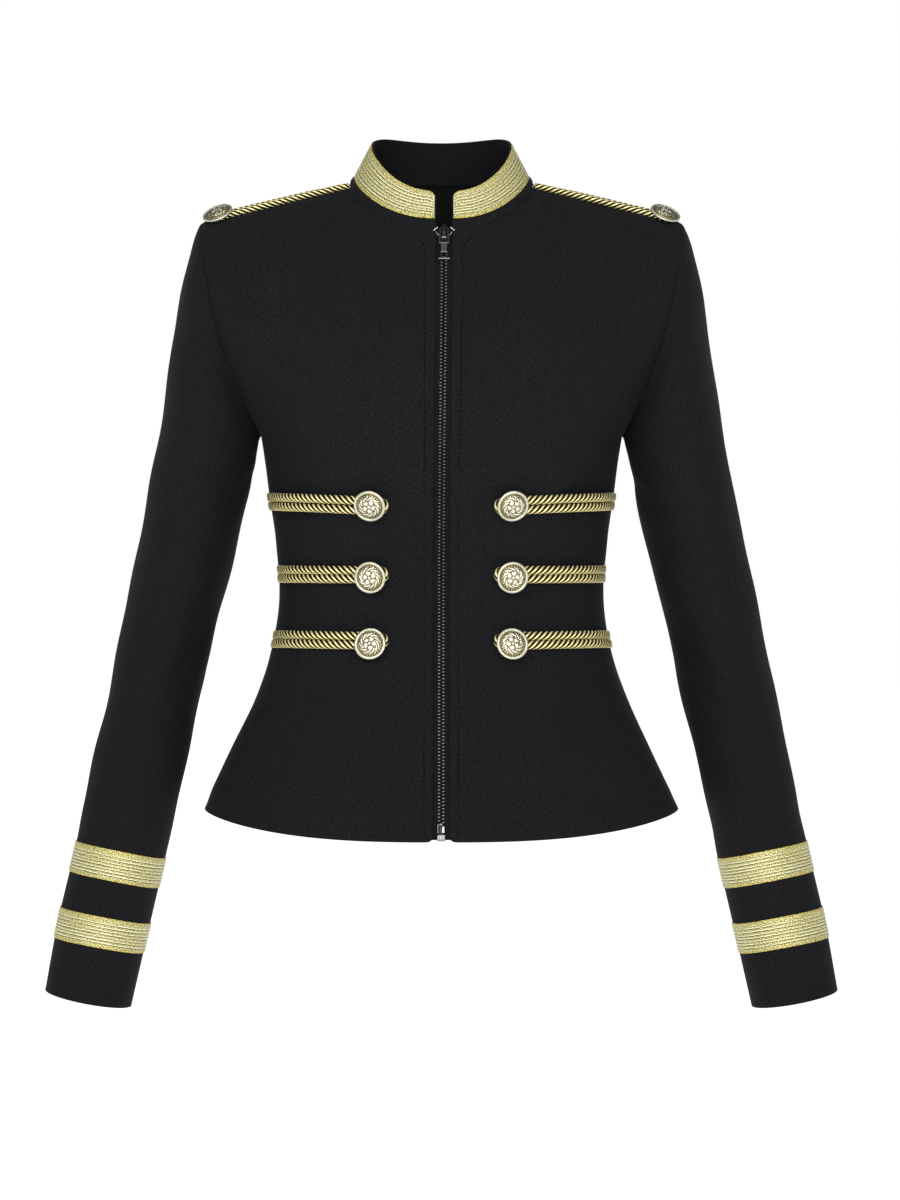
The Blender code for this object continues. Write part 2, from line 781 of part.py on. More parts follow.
def joined_boxes(boxes, frame, stuff):
    """One body from overlapping boxes, each a name and its three ranges. The first names it.
    Each box is a hair smaller than the one before, so that no two faces coincide."""
    pieces = []
    for count, (name, *ranges) in enumerate(boxes):
        low = [start + count * BOX_SHRINK for start, _ in ranges]
        high = [end - count * BOX_SHRINK for _, end in ranges]
        pieces.append(box_object(name, low, high, stuff))
        pieces[-1].matrix_world = frame
    for other in pieces[1:]:
        cut_or_join(pieces[0], other, "UNION")
    return pieces[0]


def chain_depth():
    """How far below the cloth's outside the front of the teeth lies."""
    return TAPE_BELOW + TAPE_THICK / 2 - CHAIN_THICK / 2


def make_slider(stuff):
    """Two plates joined by a wedge at the top, with an arched crown that holds the pull."""
    half = SLIDER_LONG / 2
    front_low = SLIDER_CHANNEL - chain_depth()
    back_high = -chain_depth() - CHAIN_THICK - SLIDER_CHANNEL
    front = (front_low, front_low + SLIDER_PLATE)
    back = (back_high - SLIDER_PLATE, back_high)
    top = front[1] + CROWN_HIGH
    crown_end = CROWN_HALF_LONG
    crown_post = CROWN_HALF_LONG - CROWN_BAR
    plate = (-SLIDER_HALF, SLIDER_HALF)
    wedge = (-SLIDER_WEDGE_HALF, SLIDER_WEDGE_HALF)
    crown = (-CROWN_HALF_WIDE, CROWN_HALF_WIDE)
    boxes = (
        # name, across, along the zip, out of the cloth
        ("zip_slider", plate, (-half, half), front),
        ("slider_back", plate, (-half, half), back),
        ("slider_wedge", wedge, (half - SLIDER_WEDGE_LONG, half), (back[0], front[1])),
        ("slider_crown_low", crown, (-crown_end, -crown_post), (front[0], top)),
        ("slider_crown_high", crown, (crown_post, crown_end), (front[0], top)),
        ("slider_crown_bar", crown, (-crown_end, crown_end), (top - CROWN_BAR, top)),
    )
    return joined_boxes(boxes, slider_frame(), stuff)


def pull_axis_out():
    """How far the pull's axis stands out of the cloth's outside."""
    return -chain_depth() + SLIDER_CHANNEL + SLIDER_PLATE + (CROWN_HIGH - CROWN_BAR) / 2


def make_pull(stuff):
    """A flat tab with a ring at its top that passes through the slider's crown."""
    half = PULL_THICK / 2
    thick = (-half, half)
    plate_low = half - PULL_LONG
    flange_high = plate_low + PULL_FLANGE_LONG
    foot = (-PULL_EYE_LONG - PULL_FOOT_LONG, -PULL_EYE_LONG)
    foot_middle = sum(foot) / 2
    ring = (-PULL_RING_HALF, PULL_RING_HALF)
    plate = (-PULL_PLATE_HALF, PULL_PLATE_HALF)
    flange = (-PULL_FLANGE_HALF, PULL_FLANGE_HALF)
    boxes = (
        # name, across, along the zip, out of the cloth
        ("zip_pull", ring, thick, thick),
        ("pull_eye_left", (-PULL_RING_HALF, -PULL_RING_INNER), (foot_middle, half), thick),
        ("pull_eye_right", (PULL_RING_INNER, PULL_RING_HALF), (foot_middle, half), thick),
        ("pull_eye_foot", ring, foot, thick),
        ("pull_plate", plate, (plate_low, foot_middle), thick),
        ("pull_flange", flange, (plate_low, flange_high), thick),
    )
    frame = slider_frame()
    frame.translation = frame.translation + frame.col[2].to_3d() * pull_axis_out()
    body = joined_boxes(boxes, frame, stuff)
    hole_low = (-PULL_PLATE_HALF / 2, flange_high + PULL_HOLE_UP, -PULL_THICK)
    hole_high = (PULL_PLATE_HALF / 2, hole_low[1] + PULL_HOLE_LONG, PULL_THICK)
    hole = box_object("pull_hole", hole_low, hole_high, stuff)
    hole.matrix_world = frame
    cut_or_join(body, hole, "DIFFERENCE")
    return body


def make_zip(tape, chain, slider, box):
    hem = hem_front_height()
    mirrored(make_tape("zip_tape_left", tape), "zip_tape_right")
    chain_top = SLIDER_TOP_HEIGHT - SLIDER_WEDGE_LONG - 2 * SEAM
    chain_low = hem + BOX_LONG + SEAM
    across = (-CHAIN_HALF, CHAIN_HALF)
    strip("zip_chain", chain_low, chain_top, *across, chain_depth(), CHAIN_THICK, chain)
    sink = chain_depth() - (BOX_THICK - CHAIN_THICK) / 2
    strip("zip_box", hem, hem + BOX_LONG, *across, sink, BOX_THICK, box)
    make_slider(slider)
    make_pull(slider)


# ---- cords and buttons -----------------------------------------------------------------------------


def front_turn(out, height):
    """The turn of the level section where it is a distance out from the middle."""
    side = body_at(height)[0]
    part = max(out - ZIP_OPENING, 0.0) / (side - ZIP_OPENING)
    return math.asin(min(part, 1.0) ** (BODY_ROUNDNESS / 2)) / (math.pi / 2)


def front_frame(turn, height, step=1e-3):
    """Point and outward direction of the front below the armpit."""
    point = section_point(-1, height, turn)
    low, high = max(turn - step, 0.0), min(turn + step, 1.0)
    across = section_point(-1, height, high) - section_point(-1, height, low)
    up = section_point(-1, height + step, turn) - section_point(-1, height - step, turn)
    return point, unit(np.cross(across, up))


def loop_path(row):
    """A doubled cord, in from the side seam, round the button's shank and back out. A row for
    each place: the cord's middle, which way is out, and its thickness as a share of its width.
    It is pressed flat where the side seam catches it."""
    _, at_button, at_side, button_height = row
    side = body_at(at_button)[0]
    end = BUTTON_OUT - LOOP_REACH + LOOP_BEND_LONG
    turns = [column / PANEL_COLUMNS for column in range(1, PANEL_COLUMNS)] + [LOOP_END_TURN]
    far = [section_point(-1, at_button, turn)[0] for turn in reversed(turns)]
    far = [out for out in far if out > BUTTON_OUT + LOOP_SWELL_LONG + CORD]
    near = [BUTTON_OUT + LOOP_SWELL_LONG * part for part in SWELL_PARTS]
    outs = far + [out for out in near if out > end] + [end]
    path = []
    for out, apart in loop_plan(outs, -1):
        travelled = max(out - BUTTON_OUT, 0.0) / (side - BUTTON_OUT)
        height = blend(at_button, at_side, travelled) + apart
        beside = button_height + math.copysign(strand_beside_shank(), apart)
        height = blend(height, beside, swell(out - BUTTON_OUT))
        turn = front_turn(out, at_button)
        flatness = blend(1.0, CORD_FLAT_END, ease((turn - CORD_FLAT_FROM) / (1 - CORD_FLAT_FROM)))
        point, outward = front_frame(turn, height)
        path.append((point + outward * (CORD_CLEAR + CORD / 2 * flatness), outward, flatness))
    return path


def strand_beside_shank():
    """How far a strand's middle is from the middle of the shank that it passes."""
    return SHANK_RADIUS + CORD / 2 + 2 * SEAM


def loop_plan(outs, onward):
    """A doubled cord seen flat: along some distances out, round a bend and back again. Each
    place is the distance out and how far the cord is from the loop's middle line."""
    bend = CORD_SPACING / 2
    there = [(out, bend) for out in outs]
    angles = [math.pi * (step + 1) / (BEND_STEPS + 1) for step in range(BEND_STEPS)]
    round_it = [
        (outs[-1] + onward * LOOP_BEND_LONG * math.sin(angle), bend * math.cos(angle))
        for angle in angles
    ]
    return there + round_it + [(out, -apart) for out, apart in reversed(there)]


def swell(distance):
    """1 beside the button's shank, falling smoothly to 0 where the cords lie side by side."""
    near = max(0.0, 1 - abs(distance) / LOOP_SWELL_LONG)
    return math.sin(near * math.pi / 2) ** 2


def cord_object(name, path, stuff):
    """A closed cord along the rows of a path."""
    middles = np.array([middle for middle, _, _ in path])
    points = []
    for (middle, outward, flatness), run in zip(path, np.gradient(middles, axis=0)):
        run = unit(run)
        across = unit(np.cross(outward, run))
        out = np.cross(run, across) * flatness
        for side in range(CORD_SIDES):
            angle = math.tau * (side + 0.5) / CORD_SIDES
            way = across * math.cos(angle) + out * math.sin(angle)
            points.append(middle + way * CORD / 2)
    return rings_object(name, points, CORD_SIDES, stuff)


def rings_object(name, points, sides, stuff, smooth_angle=60):
    """A closed body through rings of points, with a flat face over its first and last."""
    faces = []
    count = len(points) // sides
    for ring in range(count - 1):
        for side in range(sides):
            here, after = ring * sides + side, ring * sides + (side + 1) % sides
            faces.append((here, after, after + sides, here + sides))
    faces.append(tuple(reversed(range(sides))))
    faces.append(tuple(range((count - 1) * sides, count * sides)))
    return mesh_object(name, points, turned_outward(points, faces), stuff, smooth_angle)


def shoulder_path():
    """A loop from the neckline along the shoulder, round the shoulder button's shank."""
    start = NECK_SIDE + SHOULDER_CORD_START
    swell_start = SHOULDER_BUTTON_OUT - LOOP_SWELL_LONG
    parts = [step / SHOULDER_CORD_STEPS for step in range(SHOULDER_CORD_STEPS)]
    outs = [blend(start, swell_start, part) for part in parts]
    outs = outs + [SHOULDER_BUTTON_OUT - LOOP_SWELL_LONG * part for part in SWELL_PARTS]
    path = []
    for out, apart in loop_plan(outs, 1):
        beside = math.copysign(strand_beside_shank(), apart)
        apart = blend(apart, beside, swell(out - SHOULDER_BUTTON_OUT))
        travelled = (out - start) / (SHOULDER_BUTTON_OUT - start)
        ahead = SHOULDER_BUTTON_AHEAD * ease(travelled)
        point, outward = shoulder_frame(out, ahead + apart)
        path.append((point + outward * (CORD_CLEAR + CORD / 2), outward, 1.0))
    return path


def shoulder_frame(out, ahead):
    """Point and outward direction on the shoulder, so far out along its seam and so far ahead
    of the seam or, below zero, behind it."""
    side = -1 if ahead > 0 else 1
    neck_part = NECK_COLUMNS / PANEL_COLUMNS
    part = blend(neck_part, 1.0, (out - NECK_SIDE) / (SHOULDER_OUT - NECK_SIDE))
    low, high = SHOULDER_LOW_RISE, 1.0
    for _ in range(HALVINGS):
        rise = (low + high) / 2
        if abs(panel_point(side, part, rise)[1]) > abs(ahead):
            low = rise
        else:
            high = rise
    return panel_point(side, part, rise), surface_normal(side, part, rise)


def button_object(name, point, outward, stuff):
    """A domed disc on a short shank, turned about the way it faces."""
    across = unit(np.cross(outward, np.array([0, 0, 1.0])))
    up = np.cross(across, outward)
    outline = [(SHANK_RADIUS, CORD_CLEAR), (SHANK_RADIUS, BUTTON_BACK)]
    for radius, rim, dome in BUTTON_PROFILE:
        height = BUTTON_BACK + BUTTON_RIM_THICK * rim + BUTTON_DOME * dome
        outline.append((BUTTON_RADIUS * radius, height))
    points = []
    for radius, height in outline:
        for side in range(BUTTON_SIDES):
            angle = math.tau * side / BUTTON_SIDES
            way = across * math.cos(angle) + up * math.sin(angle)
            points.append(point + outward * height + way * radius)
    return rings_object(name, points, BUTTON_SIDES, stuff, smooth_angle=35)


def make_trims(cord, metal):
    for row in CORD_ROWS:
        number, _, _, button_height = row
        loop = cord_object(f"cord_loop_{number}_left", loop_path(row), cord)
        mirrored(loop, f"cord_loop_{number}_right")
        turn = front_turn(BUTTON_OUT, button_height)
        button = button_object(f"button_{number}_left", *front_frame(turn, button_height), metal)
        mirrored(button, f"button_{number}_right")
    mirrored(cord_object("shoulder_cord_left", shoulder_path(), cord), "shoulder_cord_right")
    place = shoulder_frame(SHOULDER_BUTTON_OUT, SHOULDER_BUTTON_AHEAD)
    mirrored(button_object("shoulder_button_left", *place, metal), "shoulder_button_right")


# ---- the whole jacket ------------------------------------------------------------------------------


def build():
    for obj in list(bpy.data.objects):
        bpy.data.objects.remove(obj, do_unlink=True)
    cloth = material("crepe", CLOTH_COLOUR, 0.85, 0.0)
    tape = material("zip tape", TAPE_COLOUR, 0.9, 0.0)
    braid = material("gold braid", BRAID_COLOUR, 0.45, 0.6)
    cord = material("gold cord", CORD_COLOUR, 0.45, 0.5)
    metal = material("pale gold metal", BUTTON_COLOUR, 0.28, 1.0)
    chain = material("dark zip teeth", CHAIN_COLOUR, 0.4, 0.8)
    slider = material("gunmetal", SLIDER_COLOUR, 0.3, 1.0)
    box = material("steel", BOX_COLOUR, 0.3, 1.0)

    for name, side in (("front", -1), ("back", 1)):
        mirrored(make_panel(name + "_left", side, cloth), name + "_right")
    mirrored(make_sleeve("sleeve_left", cloth), "sleeve_right")
    for name, distance in CUFF_BRAIDS:
        left = make_cuff_braid(f"cuff_braid_{name}_left", distance, braid)
        mirrored(left, f"cuff_braid_{name}_right")
    make_collar(cloth)
    make_collar_braid(braid)
    make_zip(tape, chain, slider, box)
    make_trims(cord, metal)


build()
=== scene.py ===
"""The look of a fitted, band-collared jacket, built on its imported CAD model.

Metres, +Z up. The front faces -Y and the wearer's left side is +X. Pieces that come in pairs
are made for the wearer's left and turned over for the right, the cloth with creases of its own.
"""

import math

import bpy
import numpy as np
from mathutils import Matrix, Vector


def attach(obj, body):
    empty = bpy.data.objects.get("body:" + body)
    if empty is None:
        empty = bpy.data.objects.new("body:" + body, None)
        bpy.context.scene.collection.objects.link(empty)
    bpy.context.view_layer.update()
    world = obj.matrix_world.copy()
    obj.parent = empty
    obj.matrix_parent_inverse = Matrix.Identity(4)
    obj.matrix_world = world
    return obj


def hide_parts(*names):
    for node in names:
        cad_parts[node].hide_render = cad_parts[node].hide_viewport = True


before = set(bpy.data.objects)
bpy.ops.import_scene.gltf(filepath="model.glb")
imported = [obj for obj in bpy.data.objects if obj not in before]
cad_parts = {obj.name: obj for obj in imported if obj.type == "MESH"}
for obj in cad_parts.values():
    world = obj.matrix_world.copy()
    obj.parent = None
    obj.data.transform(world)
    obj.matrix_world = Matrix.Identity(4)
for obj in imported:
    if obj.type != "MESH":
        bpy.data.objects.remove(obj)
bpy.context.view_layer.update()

# ---- sizes of the garment, as in the CAD --------------------------------------------------------

CLOTH = 0.0016
NECK_PART = 5 / 12
ARMPIT_HEIGHT = -0.199
NECK_SIDE = 0.0715
NECK_SIDE_HEIGHT = -0.004
NECK_FRONT = 0.068
NECK_FRONT_HEIGHT = -0.0424
NECK_BACK = 0.064
NECK_BACK_HEIGHT = 0.004
NECK_ROUNDNESS = 2.2
HEM_SIDE_HEIGHT = -0.488
HEM_FRONT_DIP = 0.0185
HEM_BACK_DIP = 0.008
HEM_FLATNESS = 2.2
BODY_ROUNDNESS = 2.35
CHEST_ROUNDNESS = 2.0
FRONT_CENTRE_CLOSING = 1.3
BACK_CENTRE_CLOSING = 0.8
SIDE_CLOSING = 0.5
ARMHOLE_BACK_DEPTH = 0.054
ARMHOLE_LEAN = 0.3
NECK_LEAN_FRONT = 0.25
NECK_LEAN_SIDE = 1.3

ZIP_OPENING = 0.0062
CHAIN_HALF = 0.0031
CHAIN_THICK = 0.0024
TAPE_OUTER = 0.0150
TAPE_THICK = 0.0010
TAPE_BELOW = CLOTH + 0.0005
SLIDER_LONG = 0.0140
SLIDER_TOP_HEIGHT = -0.0392
SLIDER_PLATE = 0.0012
SLIDER_CHANNEL = 0.0006
CROWN_HIGH = 0.0036
CROWN_BAR = 0.0011

COLLAR_GAP_HALF = 0.0061
COLLAR_BASE = 0.0085
COLLAR_MARGIN = 0.0008
BRAID_WIDE = 0.0250
COLLAR_SIDE = 0.0540
COLLAR_SIDE_HEIGHT = 0.0290
COLLAR_FRONT = 0.0526
COLLAR_FRONT_HEIGHT = -0.0121
COLLAR_BACK = 0.0560
COLLAR_BACK_HEIGHT = 0.0370
COLLAR_CORNER = 0.0090
COLLAR_HEIGHT = COLLAR_BASE + BRAID_WIDE + COLLAR_MARGIN

CORD_CLEAR = 0.0008
BUTTON_RADIUS = 0.0122
SHANK_RADIUS = 0.0015
LOOP_BEND_LONG = 0.0040
LOOP_SWELL_LONG = 0.0078
SHOULDER_BUTTON_OUT = 0.1720
SHOULDER_BUTTON_AHEAD = 0.0140
SHOULDER_LOW_RISE = 0.6

# The body below the armpits: half width at the side, and how far front and back stand out.
BODY_LEVELS = (
    # height, side, front, back
    (-0.1990, 0.1405, 0.1250, 0.1120),
    (-0.2168, 0.1378, 0.1248, 0.1105),
    (-0.2480, 0.1338, 0.1160, 0.1015),
    (-0.2792, 0.1290, 0.1030, 0.0910),
    (-0.3104, 0.1261, 0.0945, 0.0860),
    (-0.3416, 0.1278, 0.0950, 0.0905),
    (-0.3728, 0.1343, 0.1010, 0.1010),
    (-0.4040, 0.1455, 0.1090, 0.1120),
    (-0.4352, 0.1588, 0.1175, 0.1230),
    (-0.4664, 0.1735, 0.1260, 0.1330),
    (-0.4976, 0.1895, 0.1340, 0.1420),
    (-0.5100, 0.1960, 0.1370, 0.1455),
)

# The sleeve, a row for each ring from the armhole to the cuff.
SLEEVE_RINGS = (
    # outer x, outer height, inner x, inner height, depth, bow, ahead
    (0.1860, -0.0310, 0.1405, -0.1990, 0.0580, 0.0090, 0.0000),
    (0.1894, -0.0362, 0.1411, -0.1995, 0.0586, 0.0088, 0.0000),
    (0.1958, -0.0530, 0.1418, -0.2003, 0.0596, 0.0078, 0.0000),
    (0.2032, -0.0842, 0.1426, -0.2024, 0.0610, 0.0055, 0.0000),
    (0.2094, -0.1232, 0.1433, -0.2060, 0.0620, 0.0030, 0.0005),
    (0.2147, -0.1622, 0.1446, -0.2120, 0.0622, 0.0010, 0.0015),
    (0.2221, -0.2090, 0.1476, -0.2270, 0.0612, 0.0000, 0.0030),
    (0.2324, -0.2636, 0.1596, -0.2800, 0.0582, 0.0000, 0.0055),
    (0.2457, -0.3260, 0.1755, -0.3424, 0.0545, 0.0000, 0.0070),
    (0.2586, -0.3884, 0.1884, -0.4040, 0.0510, 0.0000, 0.0050),
    (0.2716, -0.4507, 0.2019, -0.4656, 0.0478, 0.0000, -0.0020),
    (0.2833, -0.5125, 0.2149, -0.5274, 0.0450, 0.0000, -0.0110),
    (0.2969, -0.5739, 0.2284, -0.5879, 0.0428, 0.0000, -0.0200),
    (0.3060, -0.6270, 0.2399, -0.6402, 0.0415, 0.0000, -0.0280),
)
ARMHOLE = SLEEVE_RINGS[0]
SHOULDER_OUT, SHOULDER_HEIGHT = ARMHOLE[0], ARMHOLE[1]

# ---- sizes and places up to 3 mm off the CAD's --------------------------------------------------

TAPE_INNER = 0.0004
TAPE_TOP_HEIGHT = -0.0430
TAPE_SHORT = 0.0022
PULL_LONG = 0.0239
BUTTON_OUT = 0.0520
BUTTON_BACK = 0.0073
LOOP_REACH = 0.0101

CUFF_BRAIDS = (
    # name, up from the cuff
    ("lower", 0.0418),
    ("upper", 0.0938),
)

CORD_ROWS = (
    # number, height at the button, at the side, of the button
    (1, -0.2539, -0.2497, -0.2527),
    (2, -0.3063, -0.3057, -0.3078),
    (3, -0.3576, -0.3565, -0.3608),
)

# ---- sizes of the detail ------------------------------------------------------------------------

# Distances from an edge of the cloth where its mesh has extra rows, so that edges are round.
EDGE_STEPS = (0.0, 0.0003, 0.0007, 0.0012, 0.0018, 0.0027, 0.0040)
PANEL_ACROSS = (30, 36)
PANEL_BODY_ROWS = 84
PANEL_CHEST_ROWS = 74
SLEEVE_ROUND = 92
SLEEVE_ROWS = 176
# About how far these rows and columns run, which places the extra ones near the edges.
PANEL_NECK_REACH = 0.20
PANEL_SHOULDER_REACH = 0.12
PANEL_BODY_REACH = 0.30
SLEEVE_REACH = 0.62
NORMAL_PASSES = 30
EDGE_ROUND = 0.0009
EDGE_ROUND_SHARE = 0.85
EDGE_CLEAR = 1.3
# Along a crease its depth follows half a sine wave, between these shares of it.
CREASE_SPAN = (0.18, 0.82)
CREASE_FADE = 0.02
SLEEVE_CREASE_FADE = 0.03
RIGHT_BODY_SWELLS = 1.13
RIGHT_SLEEVE_SWELLS = 1.09
ARMPIT_BEND = 0.20
ARMPIT_REACH = 0.030
SEAM_SINK = 0.0012
SEAM_REACH = 0.0013
SEAM_OVERLAP = 0.0004
SEAM_SHARED = 0.0060
SLEEVE_RADIUS = 0.046
HEM_CORNER = 0.0045
ZIP_FOLD_HIGH = 0.0005
ZIP_FOLD_OUT = 0.0040
ZIP_FOLD_WIDE = 0.0030

COLLAR_TUCK = 0.0007
COLLAR_BULGE_FRONT = 0.0004
COLLAR_BULGE_SIDE = 0.0018
COLLAR_BULGE_LONG = 0.10
COLLAR_SEAM_REACH = 0.002
COLLAR_COLUMNS = 118
COLLAR_CORNER_COLUMNS = np.linspace(0.0052, COLLAR_CORNER * 1.6, 9)
COLLAR_ROWS = 22
BRAID_ROWS = 50
BRAID_EDGE_ROWS = (0.004, 0.010, 0.990, 0.996)
BRAID_THICK = 0.0008
BRAID_LIFT = 0.0001
BRAID_EDGE_HIGH = 0.6
BRAID_EDGE_WIDE = 0.0006
CUFF_BRAID_ROUND = 200
CUFF_BRAID_RISE = 0.0014
CUFF_BRAID_TILT = 0.0010
CUFF_BRAID_SHARE = 0.95

CORD_RADIUS = 0.0034
CORD_SPACING = 0.0069
CORD_STRANDS = 4
CORD_LEAD = 0.0178
CORD_SIDES = 32
CORD_STEP = 0.0010
CORD_VALLEY = 0.60
CORD_LOBE_POWER = 0.9
CORD_FLAT_FROM = 0.60
CORD_FLAT_END = 0.22
CORD_END_TURN = 0.958
CORD_WORN_LONG = 0.014
CORD_WORN_FULL = 1.15
CORD_WORN_VALLEY = 0.93
CORD_END_CREST = 0.3
CORD_POINT_PASSES = 4
CORD_OUTWARD_PASSES = 12
SHOULDER_CORD_RADIUS = 0.0026
SHOULDER_CORD_LIFT = 0.8 * SHOULDER_CORD_RADIUS
SHOULDER_CORD_TUCK = 0.0016
SHOULDER_BUTTON_FACE = (0.31, -0.53, 0.79)
SHOULDER_BUTTON_SINK = 0.0030
SHOULDER_LOOP_SHORT = 0.0030
PATH_STEPS = 240
LOOP_BEND_STEPS = 24

TAPE_ROWS = 150
TAPE_COLUMNS = 7
TAPE_EDGE_DROP = 4
TAPE_BEAD_HIGH = 0.0003
TAPE_BEAD_WIDE = 0.0006

# On the zip, levels say how far out of the cloth a part's back and front lie.
# Shine and brightness values on the zip are painted highlights, from 0 for the dark metal to 1 for the
# light.
TOOTH_PITCH = 0.00254
TOOTH_HALF = 0.27 * TOOTH_PITCH
TOOTH_STEM_HALF = 0.8 * TOOTH_HALF
TOOTH_STEM_END = -0.0012
TOOTH_NECK = -0.0006
TOOTH_HEAD = 0.0002
TOOTH_HEAD_TURN = np.linspace(-1.2, 1.2, 6)
TOOTH_LEVELS = (-CHAIN_THICK, -0.0004)
TOOTH_CREST = (-0.0024, -0.0009, -0.30 * TOOTH_HALF, 0.50 * TOOTH_HALF)
TOOTH_CREST_LEVELS = (-0.0010, 0.0)
# How strong the painted highlight on the teeth's crests is at the bottom and at the top of the zip.
TEETH_SHINE_LOW = 1.0
TEETH_SHINE_HIGH = 0.62
PIN_TOP = 0.0136

BOX_LOW = 0.0014
BOX_HIGH = 0.0060
BOX_HALF = 0.0031
BOX_THICK = 0.0030
BOX_FORWARD = 0.0003
BOX_SHINE = 0.27
BOX_RIBS = 4
BOX_RIB_PITCH = 0.0013
BOX_RIB_HALF = 0.0004
BOX_RIB_SHORT = 0.0008
BOX_RIB_LEVELS = (-0.0004, 0.0003)
BOX_RIB_SHINE = 0.48
PIN_LEVELS = (-0.0024, -0.0002)
# The two pins above the retainer box, bright as painted highlights, the left one with a dark middle.
ZIP_PINS = (
    # left, right, low, high, painted highlight
    (-0.0027, -0.0021, 0.0072, 0.0136, 0.50),
    (-0.0004, 0.0001, 0.0072, 0.0136, 0.30),
    (-0.0027, 0.0012, 0.0132, 0.0138, 0.50),
    (-0.0024, 0.0010, 0.0052, 0.0133, 0.0),
    (0.0008, 0.0024, 0.0074, 0.0122, 0.85),
)
# The zip's upper ends, bright as painted highlights: places out from the middle and up from the
# neckline's front.
TOP_STOPS = (
    # start, end, half width, painted highlight
    ((0.0048, 0.0006), (0.0080, -0.0021), 0.00042, 1.0),
    ((0.0060, -0.0030), (0.0044, -0.0060), 0.00030, 0.45),
)
TOP_STOP_LEVELS = (-0.0010, 0.0006)

# The bridge over the slider that the pull hangs on.
CROWN_BASE = 0.0002
CROWN_ARCH = CROWN_HIGH - 0.0005
CROWN_REACH = 0.0036
CROWN_HALF = 0.0011
CROWN_SPREAD = 0.0003
CROWN_STEPS = 15
CROWN_SQUARENESS = 0.7
CROWN_TILT = 0.15
CROWN_END = (-0.0019, 0.0019, -0.0050, -0.0036)
CROWN_END_LEVELS = (0.0010, 0.0018)
# Sections of its bar and of the pull's, as shares of their half width and half thickness.
CROWN_SECTION = ((1, -1), (1.15, 0.2), (0.6, 1), (-0.6, 1), (-1.15, 0.2), (-1, -1))
BAR_SECTION = ((1, 0.7), (0.7, 1), (-0.7, 1), (-1, 0.7), (-1, -0.7), (-0.7, -1), (0.7, -1), (1, -0.7))

SLIDER_HALF_LONG = SLIDER_LONG / 2
# The right half of the slider's front plate: its point, its wide shoulder and its narrow end.
SLIDER_SIDE = (
    # out, up from the slider's middle
    (0.0, SLIDER_HALF_LONG + 0.0003),
    (0.0011, SLIDER_HALF_LONG - 0.0002),
    (0.0024, SLIDER_HALF_LONG - 0.0016),
    (0.0037, SLIDER_HALF_LONG - 0.0032),
    (0.0042, SLIDER_HALF_LONG - 0.0050),
    (0.0040, SLIDER_HALF_LONG - 0.0070),
    (0.0034, -SLIDER_HALF_LONG + 0.0030),
    (0.0034, -SLIDER_HALF_LONG + 0.0007),
    (0.0028, -SLIDER_HALF_LONG),
)
SLIDER_EDGE = 0.00025
SLIDER_SHINE = 0.06
SLIDER_BACK_SHINE = 0.10
# The raised middle of the front plate: its share of the plate, and how far up and out it is.
SLIDER_FACE_SHARE = (0.62, 0.72)
SLIDER_FACE_UP = 0.0008
SLIDER_FACE_LEVELS = (-0.0001, 0.0003)
# Boxes on the slider, as left, right, low and high from its middle.
SLIDER_WEDGE = (-0.0016, 0.0016, SLIDER_HALF_LONG - 0.0050, SLIDER_HALF_LONG - 0.0004)
SLIDER_WEDGE_SUNK = 0.0006
SLIDER_FLANGE = (0.0033, 0.0040, -SLIDER_HALF_LONG + 0.0010, -SLIDER_HALF_LONG + 0.0062)
SLIDER_FLANGE_LEVELS = (-0.0008, 0.0002)
SLIDER_FLANGE_SHINE = 0.75
FINE_EDGE = 0.00015

PULL_TOP = 0.0007
PULL_LOW = PULL_TOP - PULL_LONG
PULL_EYE_LOW = -0.0088
PULL_HOLE_HALF = 0.0021
PULL_HOLE_HIGH = 0.0022
PULL_HOLE_MIDDLE = PULL_LOW + 0.0040
PULL_PLATE_LOW = PULL_HOLE_MIDDLE + PULL_HOLE_HIGH
# The right half of the pull's eye and of its plate, from the top down.
PULL_EYE = (
    # out, up from the bridge
    (0.0016, PULL_TOP),
    (0.0026, PULL_TOP - 0.0006),
    (0.0036, PULL_EYE_LOW + 0.0008),
    (0.0032, PULL_EYE_LOW),
)
PULL_PLATE = ((0.0025, PULL_EYE_LOW), (0.0022, PULL_PLATE_LOW))
PULL_PLATE_HALF_THICK = 0.0006
PULL_PLATE_SHINE = 0.22
# The bar round the eye and the hole: half width and half thickness.
PULL_RING = (0.0006, 0.0007)
PULL_EYE_SHINE = 0.10
PULL_HOLE_SHINE = 0.08
# Bars across the pull: the foot of its eye, the end of its plate, and the flange at its end.
PULL_BARS = (
    # half width, low, high, half thickness, rounding, painted highlight
    (0.0038, PULL_EYE_LOW - 0.0009, PULL_EYE_LOW - 0.0001, 0.0009, 0.0002, 0.6),
    (0.0026, PULL_PLATE_LOW - 0.0002, PULL_PLATE_LOW + 0.0006, 0.0008, 0.0002, 0.9),
    (0.0043, PULL_LOW + 0.0004, PULL_LOW + 0.0014, 0.0009, 0.0003, 0.9),
)

STITCH_OUT = 0.0129
STITCH_TAPER = 0.0010
STITCH_TAPER_LOW = -0.36
STITCH_TAPER_LONG = 0.30
STITCH_BEND = 0.0130
STITCH_BEND_LOW = -0.0640
STITCH_GROOVE = 0.0005
STITCH_GROOVE_WIDE = 0.0008
STITCH_LONG = 0.0032
STITCH_PITCH = 0.0044
STITCH_START = 0.0020
STITCH_HALF = 0.0004
STITCH_END_SHARE = 0.35
STITCH_ARCH = 0.0002
STITCH_SUNK = 0.0001
STITCH_SIDES = 6
STITCH_RINGS = 7
STITCH_PATH_STEP = 0.0002
# Where the topstitching is looked for: rises down a front, and parts of its width. The front's
# mesh has extra columns there.
STITCH_RISES = np.concatenate([np.linspace(0.985, 0.02, 160), np.linspace(-0.01, -0.992, 240)])
STITCH_SEARCH = np.linspace(0, 0.4, 60)
STITCH_PARTS = np.linspace(0.010, 0.036, 14)

